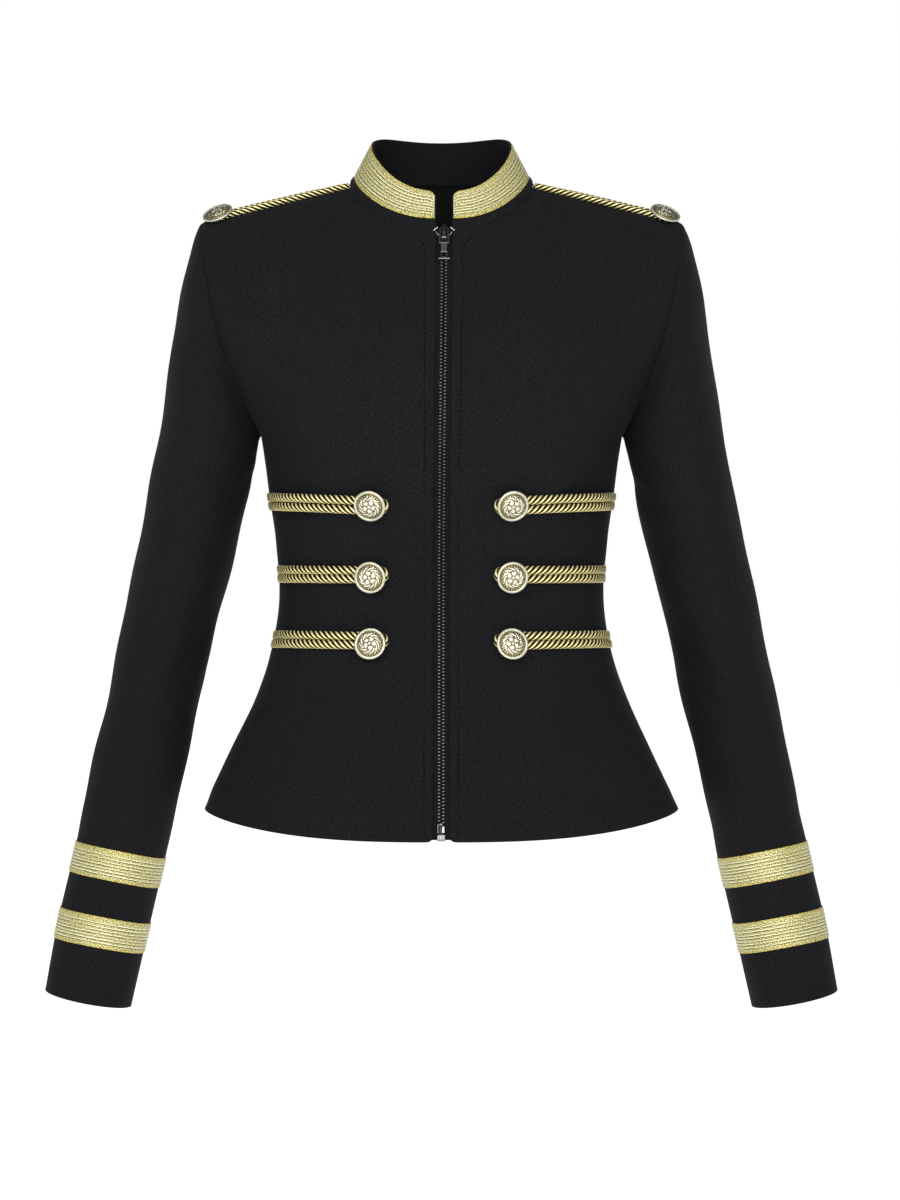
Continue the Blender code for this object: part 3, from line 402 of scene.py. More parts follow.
FLOOR_HEIGHT = -1.30
FLOOR_HALF = 40.0
FLOOR_GLOW_FROM = 4.0
CAMERA_PLACE = (0.0066, -3.0, -0.326)
CAMERA_LENS = 115.38
LIGHT_AIM = (0, 0, -0.3)
LIGHTS = (
    # name, place, size, watts
    ("key", (-0.9, -3.0, 1.1), (1.3, 1.3), 50),
    ("fill", (0.9, -3.1, 0.4), (1.3, 1.6), 36),
    ("left edge", (-2.4, 0.5, 0.6), (0.8, 1.8), 4),
    ("right edge", (2.4, 0.5, 0.6), (0.8, 1.8), 3),
    ("top", (0.0, -0.5, 2.0), (2.0, 1.4), 15),
    ("behind", (0.0, 3.0, 0.9), (1.6, 1.6), 26),
)

# The zip's upper end sits a little towards the wearer's left, as it was closed.
ZIP_LEAN = 0.0021
ZIP_LEAN_TOP = -0.030
ZIP_LEAN_LOW = -0.330
ZIP_LEAN_WIDE = 0.075

# ---- creases ------------------------------------------------------------------------------------
# Depth is how far a ridge stands out (+) or a trough goes in (-) at its middle.

FRONT_CREASES = {
    1: (
        # from: out, height, to: out, height, depth, width
        (0.136, -0.196, 0.108, -0.226, -0.0011, 0.0060),
        (0.128, -0.200, 0.100, -0.268, -0.0060, 0.0150),
        (0.098, -0.196, 0.084, -0.242, 0.0020, 0.0180),
        (0.120, -0.276, 0.078, -0.283, -0.0007, 0.0070),
        (0.118, -0.330, 0.086, -0.326, -0.0008, 0.0060),
        (0.112, -0.338, 0.072, -0.341, 0.0006, 0.0070),
        (0.118, -0.095, 0.078, -0.128, -0.0006, 0.0120),
        (0.060, -0.385, 0.082, -0.500, 0.0030, 0.0200),
        (0.108, -0.395, 0.142, -0.498, -0.0026, 0.0170),
        (0.028, -0.400, 0.034, -0.505, -0.0016, 0.0150),
        (0.150, -0.415, 0.176, -0.492, 0.0018, 0.0140),
        (0.016, -0.047, 0.026, -0.058, -0.0007, 0.0040),
    ),
    -1: (
        (0.138, -0.198, 0.116, -0.235, -0.0013, 0.0055),
        (0.126, -0.198, 0.102, -0.262, -0.0064, 0.0145),
        (0.094, -0.198, 0.082, -0.238, 0.0022, 0.0180),
        (0.122, -0.274, 0.084, -0.279, -0.0008, 0.0060),
        (0.120, -0.328, 0.080, -0.332, -0.0009, 0.0065),
        (0.116, -0.341, 0.090, -0.338, 0.0006, 0.0060),
        (0.114, -0.088, 0.084, -0.120, -0.0007, 0.0110),
        (0.066, -0.380, 0.092, -0.500, 0.0032, 0.0210),
        (0.114, -0.400, 0.146, -0.497, -0.0028, 0.0160),
        (0.036, -0.395, 0.046, -0.505, -0.0020, 0.0160),
        (0.154, -0.420, 0.180, -0.492, 0.0020, 0.0130),
        (0.012, -0.048, 0.022, -0.061, -0.0012, 0.0036),
    ),
}

BACK_CREASES = {
    1: (
        (0.134, -0.190, 0.098, -0.222, -0.0014, 0.0070),
        (0.128, -0.206, 0.090, -0.244, 0.0009, 0.0080),
        (0.108, -0.292, 0.040, -0.300, -0.0016, 0.0080),
        (0.094, -0.318, 0.024, -0.324, -0.0013, 0.0070),
        (0.100, -0.305, 0.052, -0.311, 0.0009, 0.0060),
        (0.126, -0.100, 0.092, -0.150, -0.0010, 0.0140),
        (0.044, -0.380, 0.052, -0.496, -0.0030, 0.0180),
        (0.078, -0.375, 0.098, -0.496, 0.0034, 0.0200),
        (0.116, -0.395, 0.146, -0.494, -0.0028, 0.0160),
        (0.020, -0.390, 0.022, -0.496, 0.0016, 0.0140),
    ),
    -1: (
        (0.136, -0.194, 0.104, -0.230, -0.0012, 0.0065),
        (0.126, -0.200, 0.094, -0.232, 0.0008, 0.0080),
        (0.102, -0.288, 0.050, -0.294, -0.0014, 0.0075),
        (0.098, -0.314, 0.030, -0.322, -0.0015, 0.0075),
        (0.090, -0.303, 0.044, -0.307, 0.0009, 0.0060),
        (0.122, -0.092, 0.096, -0.140, -0.0009, 0.0130),
        (0.050, -0.385, 0.060, -0.496, -0.0028, 0.0170),
        (0.084, -0.380, 0.108, -0.496, 0.0032, 0.0190),
        (0.120, -0.400, 0.150, -0.494, -0.0030, 0.0150),
        (0.024, -0.395, 0.028, -0.496, 0.0014, 0.0150),
    ),
}

# Round the sleeve an angle is 0 on the outside, 90 at the front and 180 on the inside.
SLEEVE_CREASES = {
    1: (
        # from: angle, height, to: angle, height, depth, width
        (150, -0.356, 118, -0.384, -0.0028, 0.0090),
        (168, -0.334, 126, -0.346, -0.0009, 0.0080),
        (142, -0.322, 104, -0.332, 0.0018, 0.0120),
        (148, -0.392, 98, -0.412, -0.0013, 0.0080),
        (58, -0.150, 112, -0.196, -0.0007, 0.0110),
        (25, -0.105, 66, -0.140, -0.0006, 0.0110),
        (176, -0.232, 128, -0.262, -0.0014, 0.0080),
        (140, -0.455, 80, -0.470, -0.0007, 0.0100),
        (200, -0.350, 246, -0.372, -0.0028, 0.0070),
        (196, -0.372, 238, -0.398, -0.0022, 0.0065),
        (212, -0.362, 254, -0.384, 0.0012, 0.0060),
        (206, -0.412, 262, -0.432, -0.0012, 0.0090),
        (304, -0.140, 252, -0.196, -0.0010, 0.0110),
        (188, -0.236, 232, -0.268, -0.0016, 0.0075),
        (330, -0.090, 296, -0.130, -0.0007, 0.0120),
    ),
    -1: (
        (148, -0.352, 116, -0.388, -0.0030, 0.0095),
        (166, -0.330, 122, -0.344, -0.0010, 0.0080),
        (140, -0.318, 102, -0.330, 0.0020, 0.0120),
        (144, -0.398, 92, -0.420, -0.0014, 0.0080),
        (62, -0.160, 116, -0.205, -0.0008, 0.0100),
        (30, -0.110, 70, -0.150, -0.0006, 0.0120),
        (174, -0.228, 124, -0.256, -0.0015, 0.0075),
        (136, -0.450, 76, -0.462, -0.0006, 0.0110),
        (204, -0.344, 250, -0.370, -0.0030, 0.0070),
        (192, -0.376, 236, -0.396, -0.0020, 0.0060),
        (210, -0.358, 250, -0.380, 0.0012, 0.0060),
        (208, -0.408, 258, -0.424, -0.0013, 0.0085),
        (300, -0.150, 248, -0.200, -0.0011, 0.0110),
        (190, -0.230, 236, -0.262, -0.0018, 0.0070),
        (326, -0.095, 292, -0.140, -0.0007, 0.0110),
    ),
}

# Slow swells that keep the cloth from lying perfectly even.
SWELLS = (
    # per metre across, per metre up, phase, depth
    (7.0, 3.0, 0.4, 0.0006),
    (11.0, -8.0, 1.9, 0.0004),
    (4.0, 13.0, 3.1, 0.0004),
    (17.0, 9.0, 5.2, 0.0002),
)

# ---- braid and buttons --------------------------------------------------------------------------

# Lengthwise lines woven into the braid: where across its width, how deep, how wide.
BRAID_LINES = (
    # share of the width, depth, half width
    (0.045, 0.00008, 0.00040),
    (0.150, 0.00024, 0.00028),
    (0.255, 0.00028, 0.00032),
    (0.350, 0.00024, 0.00024),
    (0.455, 0.00030, 0.00032),
    (0.550, 0.00026, 0.00026),
    (0.660, 0.00028, 0.00030),
    (0.775, 0.00022, 0.00026),
    (0.955, 0.00007, 0.00040),
)

# A button from its back to the start of its face.
BUTTON_RIM = (
    # radius, height, as shares of the button's radius and the rim's height
    (0.30, 0.00),
    (0.88, 0.02),
    (0.96, 0.14),
    (1.00, 0.42),
    (0.99, 0.72),
    (0.95, 0.94),
    (0.90, 1.02),
    (0.85, 0.98),
    (0.82, 0.84),
    (0.80, 0.62),
    (0.785, 0.52),
)
RIM_HIGH = 0.0021
# How light the rim and the groove inside it are coloured; the groove's darkness is painted shade.
RIM_BRIGHT = 0.9
GROOVE_PAINTED_SHADE = 0.3
BUTTON_ROUND = 120
FACE_RINGS = 46
FACE_START = 0.775
FACE_END = 0.012
FACE_FADE = 0.03
FACE_LOW = 0.0012
FACE_DOME = 0.0024
FACE_DOME_WIDE = 0.80
RELIEF_HIGH = 0.00048
BUTTON_TURN = 0.7
SHOULDER_BUTTON_TURN = 0.3
# The embossed face: how many petals, leaves and beads there are, and where each ring of them
# lies, as a middle and a half width in shares of the button's radius.
PETALS, PETAL_RING = 5, (0.27, 0.13)
PETAL_CURL = 0.7
LEAVES, LEAF_RING = 11, (0.55, 0.12)
LEAF_SLANT = 17
BEADS, BEAD_RING = 26, (0.725, 0.03)
BOSS = (0.0, 0.10)

# ---- colours ------------------------------------------------------------------------------------

CREPE_DARK = (0.0046, 0.0046, 0.0052)
CREPE_LIGHT = (0.0115, 0.0116, 0.0131)
METALS = (
    # name, dark, light under a full painted highlight, roughness
    ("zip teeth", (0.003, 0.003, 0.0035), (0.44, 0.44, 0.45), 0.38),
    ("gunmetal", (0.006, 0.006, 0.007), (0.36, 0.36, 0.37), 0.32),
    ("steel", (0.010, 0.010, 0.011), (0.66, 0.66, 0.67), 0.30),
)
TWILL_WIDE = 0.0012
TWILL_LINES = 9000.0


# ---- curves and surfaces, as in the CAD ---------------------------------------------------------


def through(keys, values, at):
    """Smooth values at places between rows, on curves that pass through every row."""
    keys, values, at = (np.asarray(x, float) for x in (keys, values, at))
    slopes = np.gradient(values, keys, axis=0)
    low = np.clip(np.searchsorted(keys, at) - 1, 0, len(keys) - 2)
    span = (keys[low + 1] - keys[low])[..., None]
    part = (at - keys[low])[..., None] / span
    rest = 1 - part
    return (
        values[low] * (1 + 2 * part) * rest**2
        + slopes[low] * span * part * rest**2
        + values[low + 1] * (3 - 2 * part) * part**2
        - slopes[low + 1] * span * rest * part**2
    )


def body_at(height):
    """Side, front and back distances of the body at heights below the armpits."""
    rows = np.array(BODY_LEVELS)[::-1]
    return np.moveaxis(through(rows[:, 0], rows[:, 1:], height), -1, 0)


def power(value, exponent):
    return np.maximum(value, 0.0) ** exponent


def mix(low, high, part):
    return low + (high - low) * part


def ease(part):
    """From 0 to 1 with a soft start and end."""
    part = np.clip(part, 0.0, 1.0)
    return part * part * (3 - 2 * part)


def stack(*parts):
    return np.stack(np.broadcast_arrays(*parts), axis=-1).astype(float)


def unit(vectors):
    vectors = np.asarray(vectors, float)
    return vectors / np.maximum(np.linalg.norm(vectors, axis=-1, keepdims=True), 1e-12)


def neck_ring(angle, side, front, back, heights, edge):
    """Points of a ring round the neck. The angle is 0 at the front and pi at the back."""
    front_height, side_height, back_height = heights
    exponent = 2 / NECK_ROUNDNESS
    depth = np.where(angle < np.pi / 2, -front, back)
    lift = ((front_height + back_height) / 2 - side_height) / 2
    level = (front_height + back_height) / 2 - lift
    height = level - (back_height - front_height) / 2 * np.cos(angle) + lift * np.cos(2 * angle)
    start = np.where(angle < np.pi / 2, edge, 0.0)
    out = start + (side - start) * power(np.sin(angle), exponent)
    return stack(out, depth * power(np.abs(np.cos(angle)), exponent), height)


def neckline(angle, edge=ZIP_OPENING):
    heights = (NECK_FRONT_HEIGHT, NECK_SIDE_HEIGHT, NECK_BACK_HEIGHT)
    return neck_ring(angle, NECK_SIDE, NECK_FRONT, NECK_BACK, heights, edge)


def neck_outward(angle):
    lean = mix(NECK_LEAN_FRONT, NECK_LEAN_SIDE, np.sin(angle) ** 2)
    return unit(stack(np.sin(angle), -np.cos(angle), lean))


def sleeve_ring(row, angle):
    """Points of sleeve rings: 0 at the top, a quarter turn at the front, half below."""
    columns = np.moveaxis(np.asarray(row, float), -1, 0)
    outer_x, outer_z, inner_x, inner_z, depth, bow, ahead = columns
    half_x, half_z = (outer_x - inner_x) / 2, (outer_z - inner_z) / 2
    size = np.hypot(half_x, half_z)
    back_ratio = mix(1.0, ARMHOLE_BACK_DEPTH / ARMHOLE[4], bow / ARMHOLE[5])
    depth = np.where(np.sin(angle) < 0, depth * back_ratio, depth)
    swing = bow * np.sin(angle) ** 2
    return stack(
        (outer_x + inner_x) / 2 + half_x * np.cos(angle) + half_z / size * swing,
        ahead - depth * np.sin(angle),
        (outer_z + inner_z) / 2 + half_z * np.cos(angle) - half_x / size * swing,
    )


def armhole_outward(angle):
    """Which way the cloth faces on the armhole seam, for body and sleeve alike."""
    across = unit(np.array([ARMHOLE[0] - ARMHOLE[2], 0, ARMHOLE[1] - ARMHOLE[3]]))
    along = np.array([across[2], 0, -across[0]])
    forward = stack(0 * angle, -np.sin(angle), 0 * angle)
    return unit(across * np.cos(angle)[..., None] + forward + along * ARMHOLE_LEAN)


def top_edge(side, part):
    """The panel's top edge: round the neckline, then out along the shoulder seam."""
    turn = np.clip(part / NECK_PART, 0, 1) * np.pi / 2
    round_neck = neckline(turn if side < 0 else np.pi - turn)
    along = np.clip((part - NECK_PART) / (1 - NECK_PART), 0, 1)
    out = mix(NECK_SIDE, SHOULDER_OUT, along)
    shoulder = stack(out, 0 * out, mix(NECK_SIDE_HEIGHT, SHOULDER_HEIGHT, along))
    return np.where((part <= NECK_PART)[..., None], round_neck, shoulder)


def hem_height(side, part):
    dip = HEM_FRONT_DIP if side < 0 else HEM_BACK_DIP
    return HEM_SIDE_HEIGHT - dip * (1 - power(np.sin(part * np.pi / 2), HEM_FLATNESS))


def section_point(side, height, turn):
    """Points of level sections below the armpits. The turn is 0 at the centre, 1 at the side."""
    out, front, back = body_at(height)
    depth = -front if side < 0 else back
    edge = ZIP_OPENING if side < 0 else 0.0
    exponent = 2 / BODY_ROUNDNESS
    angle = turn * np.pi / 2
    across = edge + (out - edge) * power(np.sin(angle), exponent)
    return stack(across, depth * power(np.cos(angle), exponent), height)


def chest_point(side, part, rise):
    """Points above the armpits. The rise is 0 at the armpit and 1 at the shoulder."""
    angle = np.pi * (1 - rise)
    lift = (1 + np.cos(angle)) / 2
    armhole = sleeve_ring(ARMHOLE, angle if side < 0 else -angle)
    top = top_edge(side, part)
    edge = ZIP_OPENING if side < 0 else 0.0
    roundness = mix(BODY_ROUNDNESS, CHEST_ROUNDNESS, np.sin(lift * np.pi / 2))
    depth = np.abs(section_point(side, ARMPIT_HEIGHT, 0.0)[1])
    armhole_depth = ARMHOLE[4] if side < 0 else ARMHOLE_BACK_DEPTH
    edge_depth = armhole_depth * 2 * np.sqrt(lift / (1 + lift))
    end = np.arccos((edge_depth / depth) ** (roundness / 2))
    across = power(np.sin(end * part) / np.sin(end), 2 / roundness)
    out = edge + (armhole[..., 0] - edge) * across
    top_end = np.arccos((armhole_depth * np.sqrt(2) / depth) ** (CHEST_ROUNDNESS / 2))
    top_across = power(np.sin(top_end * part) / np.sin(top_end), 2 / CHEST_ROUNDNESS)
    top_out = edge + (SHOULDER_OUT - edge) * top_across
    out = out + lift**3 * (top[..., 0] - top_out)
    forward = depth * power(np.cos(end * part), 2 / roundness)
    centre_closing = FRONT_CENTRE_CLOSING if side < 0 else BACK_CENTRE_CLOSING
    cap = power(1 - lift**2, mix(centre_closing, SIDE_CLOSING, np.sin(part * np.pi / 2)))
    top_depth = np.abs(top[..., 1])
    depth_here = top_depth + (forward - top_depth) * cap
    bow_drop = armhole[..., 2] - mix(ARMHOLE[3], ARMHOLE[1], lift)
    height = mix(ARMPIT_HEIGHT, top[..., 2], lift) + bow_drop * part**2
    return stack(out, side * depth_here, height)


def panel_point(side, part, rise):
    """Points of the front (side -1) or back (+1). The rise is -1 at the hem, 0 at the armpit
    and 1 at the shoulder; the part is 0 at the centre and 1 at the side seam or armhole."""
    part, rise = np.broadcast_arrays(np.asarray(part, float), np.asarray(rise, float))
    height = mix(ARMPIT_HEIGHT, hem_height(side, part), np.clip(-rise, 0, 1))
    below = section_point(side, height, part)
    above = chest_point(side, part, np.clip(rise, 0, 1))
    return np.where((rise >= 0)[..., None], above, below)


def panel_normal(side, part, rise, step=1e-3):
    """Which way a panel faces, from short steps along it that stay inside its edges."""
    part = np.clip(part, step, 1 - step)
    rise = np.where(np.abs(rise) < step, -step, np.minimum(rise, 1 - 10 * step))
    across = panel_point(side, part + step, rise) - panel_point(side, part - step, rise)
    along = panel_point(side, part, rise + step) - panel_point(side, part, rise - step)
    return unit(np.cross(across, along) * -side)


def sleeve_point(along, angle):
    """Points of the sleeve. Along runs from 0 at the armhole to 1 at the cuff."""
    rows = np.array(SLEEVE_RINGS)
    row = through(np.arange(len(rows)), rows, np.asarray(along) * (len(rows) - 1))
    return sleeve_ring(row, angle)


def sleeve_normal(along, angle, step=1e-3):
    low, high = np.maximum(along - step, 0.0), np.minimum(along + step, 1.0)
    down = sleeve_point(high, angle) - sleeve_point(low, angle)
    round_it = sleeve_point(along, angle + step) - sleeve_point(along, angle - step)
    return unit(np.cross(round_it, down))


def centre_point(height):
    """The outside of the cloth at the front opening, at heights, on the middle plane."""
    lift = (height - ARMPIT_HEIGHT) / (NECK_FRONT_HEIGHT - ARMPIT_HEIGHT)
    rise = 1 - np.arccos(np.clip(2 * lift - 1, -1, 1)) / np.pi
    above = chest_point(-1, 0.0 * height, rise)
    below = section_point(-1, height, 0.0 * height)
    points = np.where((height >= ARMPIT_HEIGHT)[..., None], above, below)
    return points * np.array([0, 1, 1])


def centre_normal(height, step=1e-3):
    top = np.minimum(height + step, NECK_FRONT_HEIGHT)
    up = unit(centre_point(top) - centre_point(top - 2 * step))
    return stack(0 * height, -up[..., 2], up[..., 1])


# ---- creases on a surface -----------------------------------------------------------------------


def crease_push(across, height, rows, period=None):
    """How far the creases push the cloth out or in. Each fades towards its two ends."""
    push = np.zeros_like(across)
    for start_across, start_height, end_across, end_height, depth, width in rows:
        run_across, run_height = end_across - start_across, end_height - start_height
        off_across, off_height = across - start_across, height - start_height
        if period:
            off_across = (off_across + period / 2) % period - period / 2
        length = math.hypot(run_across, run_height)
        along = (off_across * run_across + off_height * run_height) / length**2
        held = np.clip(along, 0, 1)
        gap = np.hypot(off_across - held * run_across, off_height - held * run_height)
        strength = np.sin(np.pi * mix(*CREASE_SPAN, held))
        push += depth * strength * np.exp(-((gap / width) ** 2))
    return push


def armpit_push(points, normals):
    """Rounds the level where the body starts to widen towards the armholes."""
    near = np.clip(1 - np.abs(points[..., 2] - ARMPIT_HEIGHT) / ARMPIT_REACH, 0, 1)
    sideways = points[..., 0] / ARMHOLE[2] * np.abs(normals[..., 0])
    return ARMPIT_BEND * ARMPIT_REACH / 4 * near**2 * sideways


def swell_push(across, height, hand):
    push = np.zeros_like(across)
    for per_across, per_up, phase, depth in SWELLS:
        turn = math.tau * (per_across * across + per_up * height) + phase * (2 + hand)
        push += depth * np.sin(turn)
    return push


def sleeve_creases(hand):
    return [
        (math.radians(a) * SLEEVE_RADIUS, b, math.radians(c) * SLEEVE_RADIUS, d, depth, width)
        for a, b, c, d, depth, width in SLEEVE_CREASES[hand]
    ]


def leaned(points):
    """Points moved with the zip's upper end."""
    points = np.array(points, float)
    high = ease((points[..., 2] - ZIP_LEAN_LOW) / (ZIP_LEAN_TOP - ZIP_LEAN_LOW))
    near = ease(1 - np.abs(points[..., 0]) / ZIP_LEAN_WIDE)
    ahead = ease(-points[..., 1] / NECK_FRONT * 2)
    points[..., 0] += ZIP_LEAN * high * near * ahead
    return points


# ---- meshes -------------------------------------------------------------------------------------


def new_piece(name, points, faces, material, uv=None, marks=None, smooth=True):
    """A mesh from points and faces, with places on its material per face corner and marks,
    which are named numbers per point."""
    mesh = bpy.data.meshes.new(name)
    mesh.from_pydata(leaned(points).tolist(), [], faces)
    mesh.update()
    if uv is not None:
        layer = mesh.uv_layers.new(name="cloth")
        layer.uv.foreach_set("vector", np.asarray(uv, np.float32).ravel())
    for mark, values in (marks or {}).items():
        made = mesh.attributes.new(mark, "FLOAT", "POINT")
        made.data.foreach_set("value", np.asarray(values, np.float32).ravel())
    if smooth:
        mesh.shade_smooth()
    obj = bpy.data.objects.new(name, mesh)
    bpy.context.scene.collection.objects.link(obj)
    mesh.materials.append(material)
    return obj


def volume(points, faces):
    """Six times the volume inside a closed mesh."""
    total = 0.0
    for size in {len(face) for face in faces}:
        some = points[np.array([face for face in faces if len(face) == size])]
        for second in range(1, size - 1):
            total += float((some[:, 0] * np.cross(some[:, second], some[:, second + 1])).sum())
    return total


def ring_faces(rows, columns, closed_along=False):
    """The side faces of a tube whose points are numbered ring by ring."""
    faces = []
    for row in range(rows if closed_along else rows - 1):
        here, there = row * columns, (row + 1) % rows * columns
        for column in range(columns):
            after = (column + 1) % columns
            faces.append([here + column, here + after, there + after, there + column])
    return faces


def end_faces(rows, columns):
    """Flat ends for such a tube."""
    return [list(range(columns))[::-1], list(range((rows - 1) * columns, rows * columns))]


def grid_quads(rows, columns, closed):
    """Corners of a grid's faces, as row and column numbers. A closed grid's last column joins
    its first, and the column number there runs on."""
    spans = columns if closed else columns - 1
    row, column = np.meshgrid(np.arange(rows - 1), np.arange(spans), indexing="ij")
    row, column = row.ravel(), column.ravel()
    corners = ((row, column), (row, column + 1), (row + 1, column + 1), (row + 1, column))
    return [np.stack(pair, axis=-1) for pair in corners]


def cap_faces(rows, columns):
    """Triangles over the first and the last ring of a tube, each round a middle point."""
    faces = []
    last, middle = (rows - 1) * columns, rows * columns
    for column in range(columns):
        after = (column + 1) % columns
        faces.append([after, column, middle])
        faces.append([last + column, last + after, middle + 1])
    return faces


def capped_tube(name, grid, hand, material, marks, uv=None):
    """A tube from rings of points, [ring][column], closed at its ends round middle points. A
    mark has its values on the rings and at the two middle points. The uv grid has one more
    column than the points."""
    rows, columns = grid.shape[:2]
    grid = grid * np.array([hand, 1, 1])
    points = np.concatenate([grid.reshape(-1, 3), grid[[0, -1]].mean(axis=1)])
    faces = ring_faces(rows, columns) + cap_faces(rows, columns)
    places = []
    if uv is not None:
        quads = grid_quads(rows, columns, True)
        places = list(np.stack([uv[q[:, 0], q[:, 1]] for q in quads], axis=1))
        places += [np.zeros((3, 2))] * (2 * columns)
    if volume(points, faces) < 0:
        faces = [face[::-1] for face in faces]
        places = [place[::-1] for place in places]
    uv = np.concatenate(places) if places else None
    marks = {key: np.append(values, ends) for key, (values, ends) in marks.items()}
    return new_piece(name, points, faces, material, uv, marks)


def edge_loops(rows, columns, closed):
    """Row and column numbers along a grid's open edges, with the grid on the left."""
    down, out = np.arange(rows), np.arange(columns + closed)
    first, last = 0 * out, 0 * out + rows - 1
    if closed:
        return [(first, out[::-1]), (last, out)]
    row = np.concatenate([down, last[1:], down[-2::-1], first[1:]])
    column = np.concatenate([0 * down, out[1:], 0 * down[1:] + columns - 1, out[-2::-1]])
    return [(row, column)]


def shell(name, outer, inner, uv, material, hand, closed=False):
    """A closed thin wall between two grids of points, [row][column]. The uv grid has one more
    column than the points where the wall is a closed ring."""
    rows, columns = outer.shape[:2]
    flip = np.array([hand, 1, 1])
    points = np.concatenate([outer.reshape(-1, 3), inner.reshape(-1, 3)]) * flip
    quads = grid_quads(rows, columns, closed)
    face = np.stack([q[:, 0] * columns + q[:, 1] % columns for q in quads], axis=1)
    place = np.stack([uv[q[:, 0], q[:, 1]] for q in quads], axis=1)
    back = rows * columns
    faces = [face, face[:, ::-1] + back]
    places = [place, place[:, ::-1]]
    for row, column in edge_loops(rows, columns, closed):
        edge, place = row * columns + column % columns, uv[row, column]
        faces.append(np.stack([edge[:-1], edge[1:], edge[1:] + back, edge[:-1] + back], 1))
        places.append(np.stack([place[:-1], place[1:], place[1:], place[:-1]], 1))
    faces, places = np.concatenate(faces), np.concatenate(places)
    if volume(points, faces.tolist()) < 0:
        faces, places = faces[:, ::-1], places[:, ::-1]
    return new_piece(name, points, faces.tolist(), material, places.reshape(-1, 2))


def run_length(points, axis):
    """Distance along a grid's rows or columns from its first one."""
    steps = np.linalg.norm(np.diff(points, axis=axis), axis=-1)
    return np.concatenate([np.zeros_like(steps.take([0], axis)), steps.cumsum(axis)], axis)


def round_inset(distance):
    """How far in each side of the cloth lies near a rounded edge."""
    left = 1 - np.clip(distance / EDGE_ROUND, 0, 1)
    return CLOTH / 2 * EDGE_ROUND_SHARE * (1 - np.sqrt(1 - left**2))


def spread(count, length, at_start=True, at_end=True):
    """Places from 0 to 1, evenly spaced, with extra ones near the edges."""
    edge = np.array(EDGE_STEPS) / length
    clear = edge[-1] * EDGE_CLEAR
    places = np.linspace(0, 1, count)
    if at_start:
        places = np.append(edge, places[places > clear])
    if at_end:
        places = np.append(places[places < 1 - clear], 1 - edge)
    return np.unique(places.round(9))


def cut_size(points, closed=False):
    """Width, length and area of the flat piece of cloth that a grid of points was cut from."""
    grid = np.concatenate([points, points[:, :1]], axis=1) if closed else points
    width = float(run_length(grid, 1)[:, -1].max())
    length = float(run_length(grid, 0)[-1].max())
    across, along = np.diff(grid, axis=1)[:-1], np.diff(grid, axis=0)[:, :-1]
    area = float(np.linalg.norm(np.cross(across, along), axis=-1).sum())
    return (width, length), min(area, width * length)


def declare(piece, node, cut=None, body="garment"):
    """Puts a piece on the body it rides on and hides what it replaces in the CAD.
    Its cut, for cloth the flat piece it was cut from, is not used."""
    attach(piece, body)
    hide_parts(node)
    return piece


def side_name(hand):
    return "left" if hand > 0 else "right"


# ---- cloth --------------------------------------------------------------------------------------


def corner_rise(distance):
    """How far the hem's corner beside the zip is rounded up."""
    left = np.clip(HEM_CORNER - distance, 0, None)
    return HEM_CORNER - np.sqrt(np.maximum(HEM_CORNER**2 - left**2, 0))


def stitch_out(height):
    """How far from the middle the topstitching runs. At the top it curves to the neckline."""
    bend = ease((height - STITCH_BEND_LOW) / (NECK_FRONT_HEIGHT - STITCH_BEND_LOW)) ** 2
    taper = ease((height - STITCH_TAPER_LOW) / STITCH_TAPER_LONG)
    return STITCH_OUT + STITCH_TAPER * taper + STITCH_BEND * bend


def stitch_near(base):
    off = (base[..., 0] - stitch_out(base[..., 2])) / STITCH_GROOVE_WIDE
    return np.exp(-(off**2))


def cloth_sides(base, normals, push, groove, inset):
    """The cloth's outside and inside, pushed out together, with the outside sunk at its seams."""
    outer = base + normals * (push - groove - inset)[..., None]
    inner = base + normals * (push - CLOTH + inset)[..., None]
    return outer, inner


def panel_places(side):
    """Parts and rises of a panel's mesh."""
    neck = spread(PANEL_ACROSS[0], PANEL_NECK_REACH, at_end=False) * NECK_PART
    shoulder = spread(PANEL_ACROSS[1], PANEL_SHOULDER_REACH, at_start=False)
    shoulder = NECK_PART + shoulder * (1 - NECK_PART)
    if side < 0:
        neck = np.concatenate([neck, STITCH_PARTS])
    part = np.unique(np.concatenate([neck, shoulder]).round(9))
    body = spread(PANEL_BODY_ROWS, PANEL_BODY_REACH, at_end=False) - 1
    rise = np.unique(np.concatenate([body, np.linspace(0, 1, PANEL_CHEST_ROWS)]).round(9))
    return np.meshgrid(part, rise)


def panel_facing(side, part, rise, from_side, from_top):
    """Which way a panel faces. Along their seams it agrees with the sleeve and the collar."""
    normals = unit(smoothed(panel_normal(side, part, rise), NORMAL_PASSES))
    angle = np.pi * (1 - np.clip(rise, 0, 1))
    shared = armhole_outward(angle if side < 0 else -angle)
    on_armhole = np.exp(-from_side / SEAM_SHARED) * (rise > 0)
    normals = unit(mix(normals, shared, on_armhole[..., None]))
    turn = np.clip(part / NECK_PART, 0, 1) * np.pi / 2
    shared = neck_outward(turn if side < 0 else np.pi - turn)
    on_neck = np.exp(-from_top / SEAM_SHARED) * (part <= NECK_PART)
    return unit(mix(normals, shared, on_neck[..., None]))


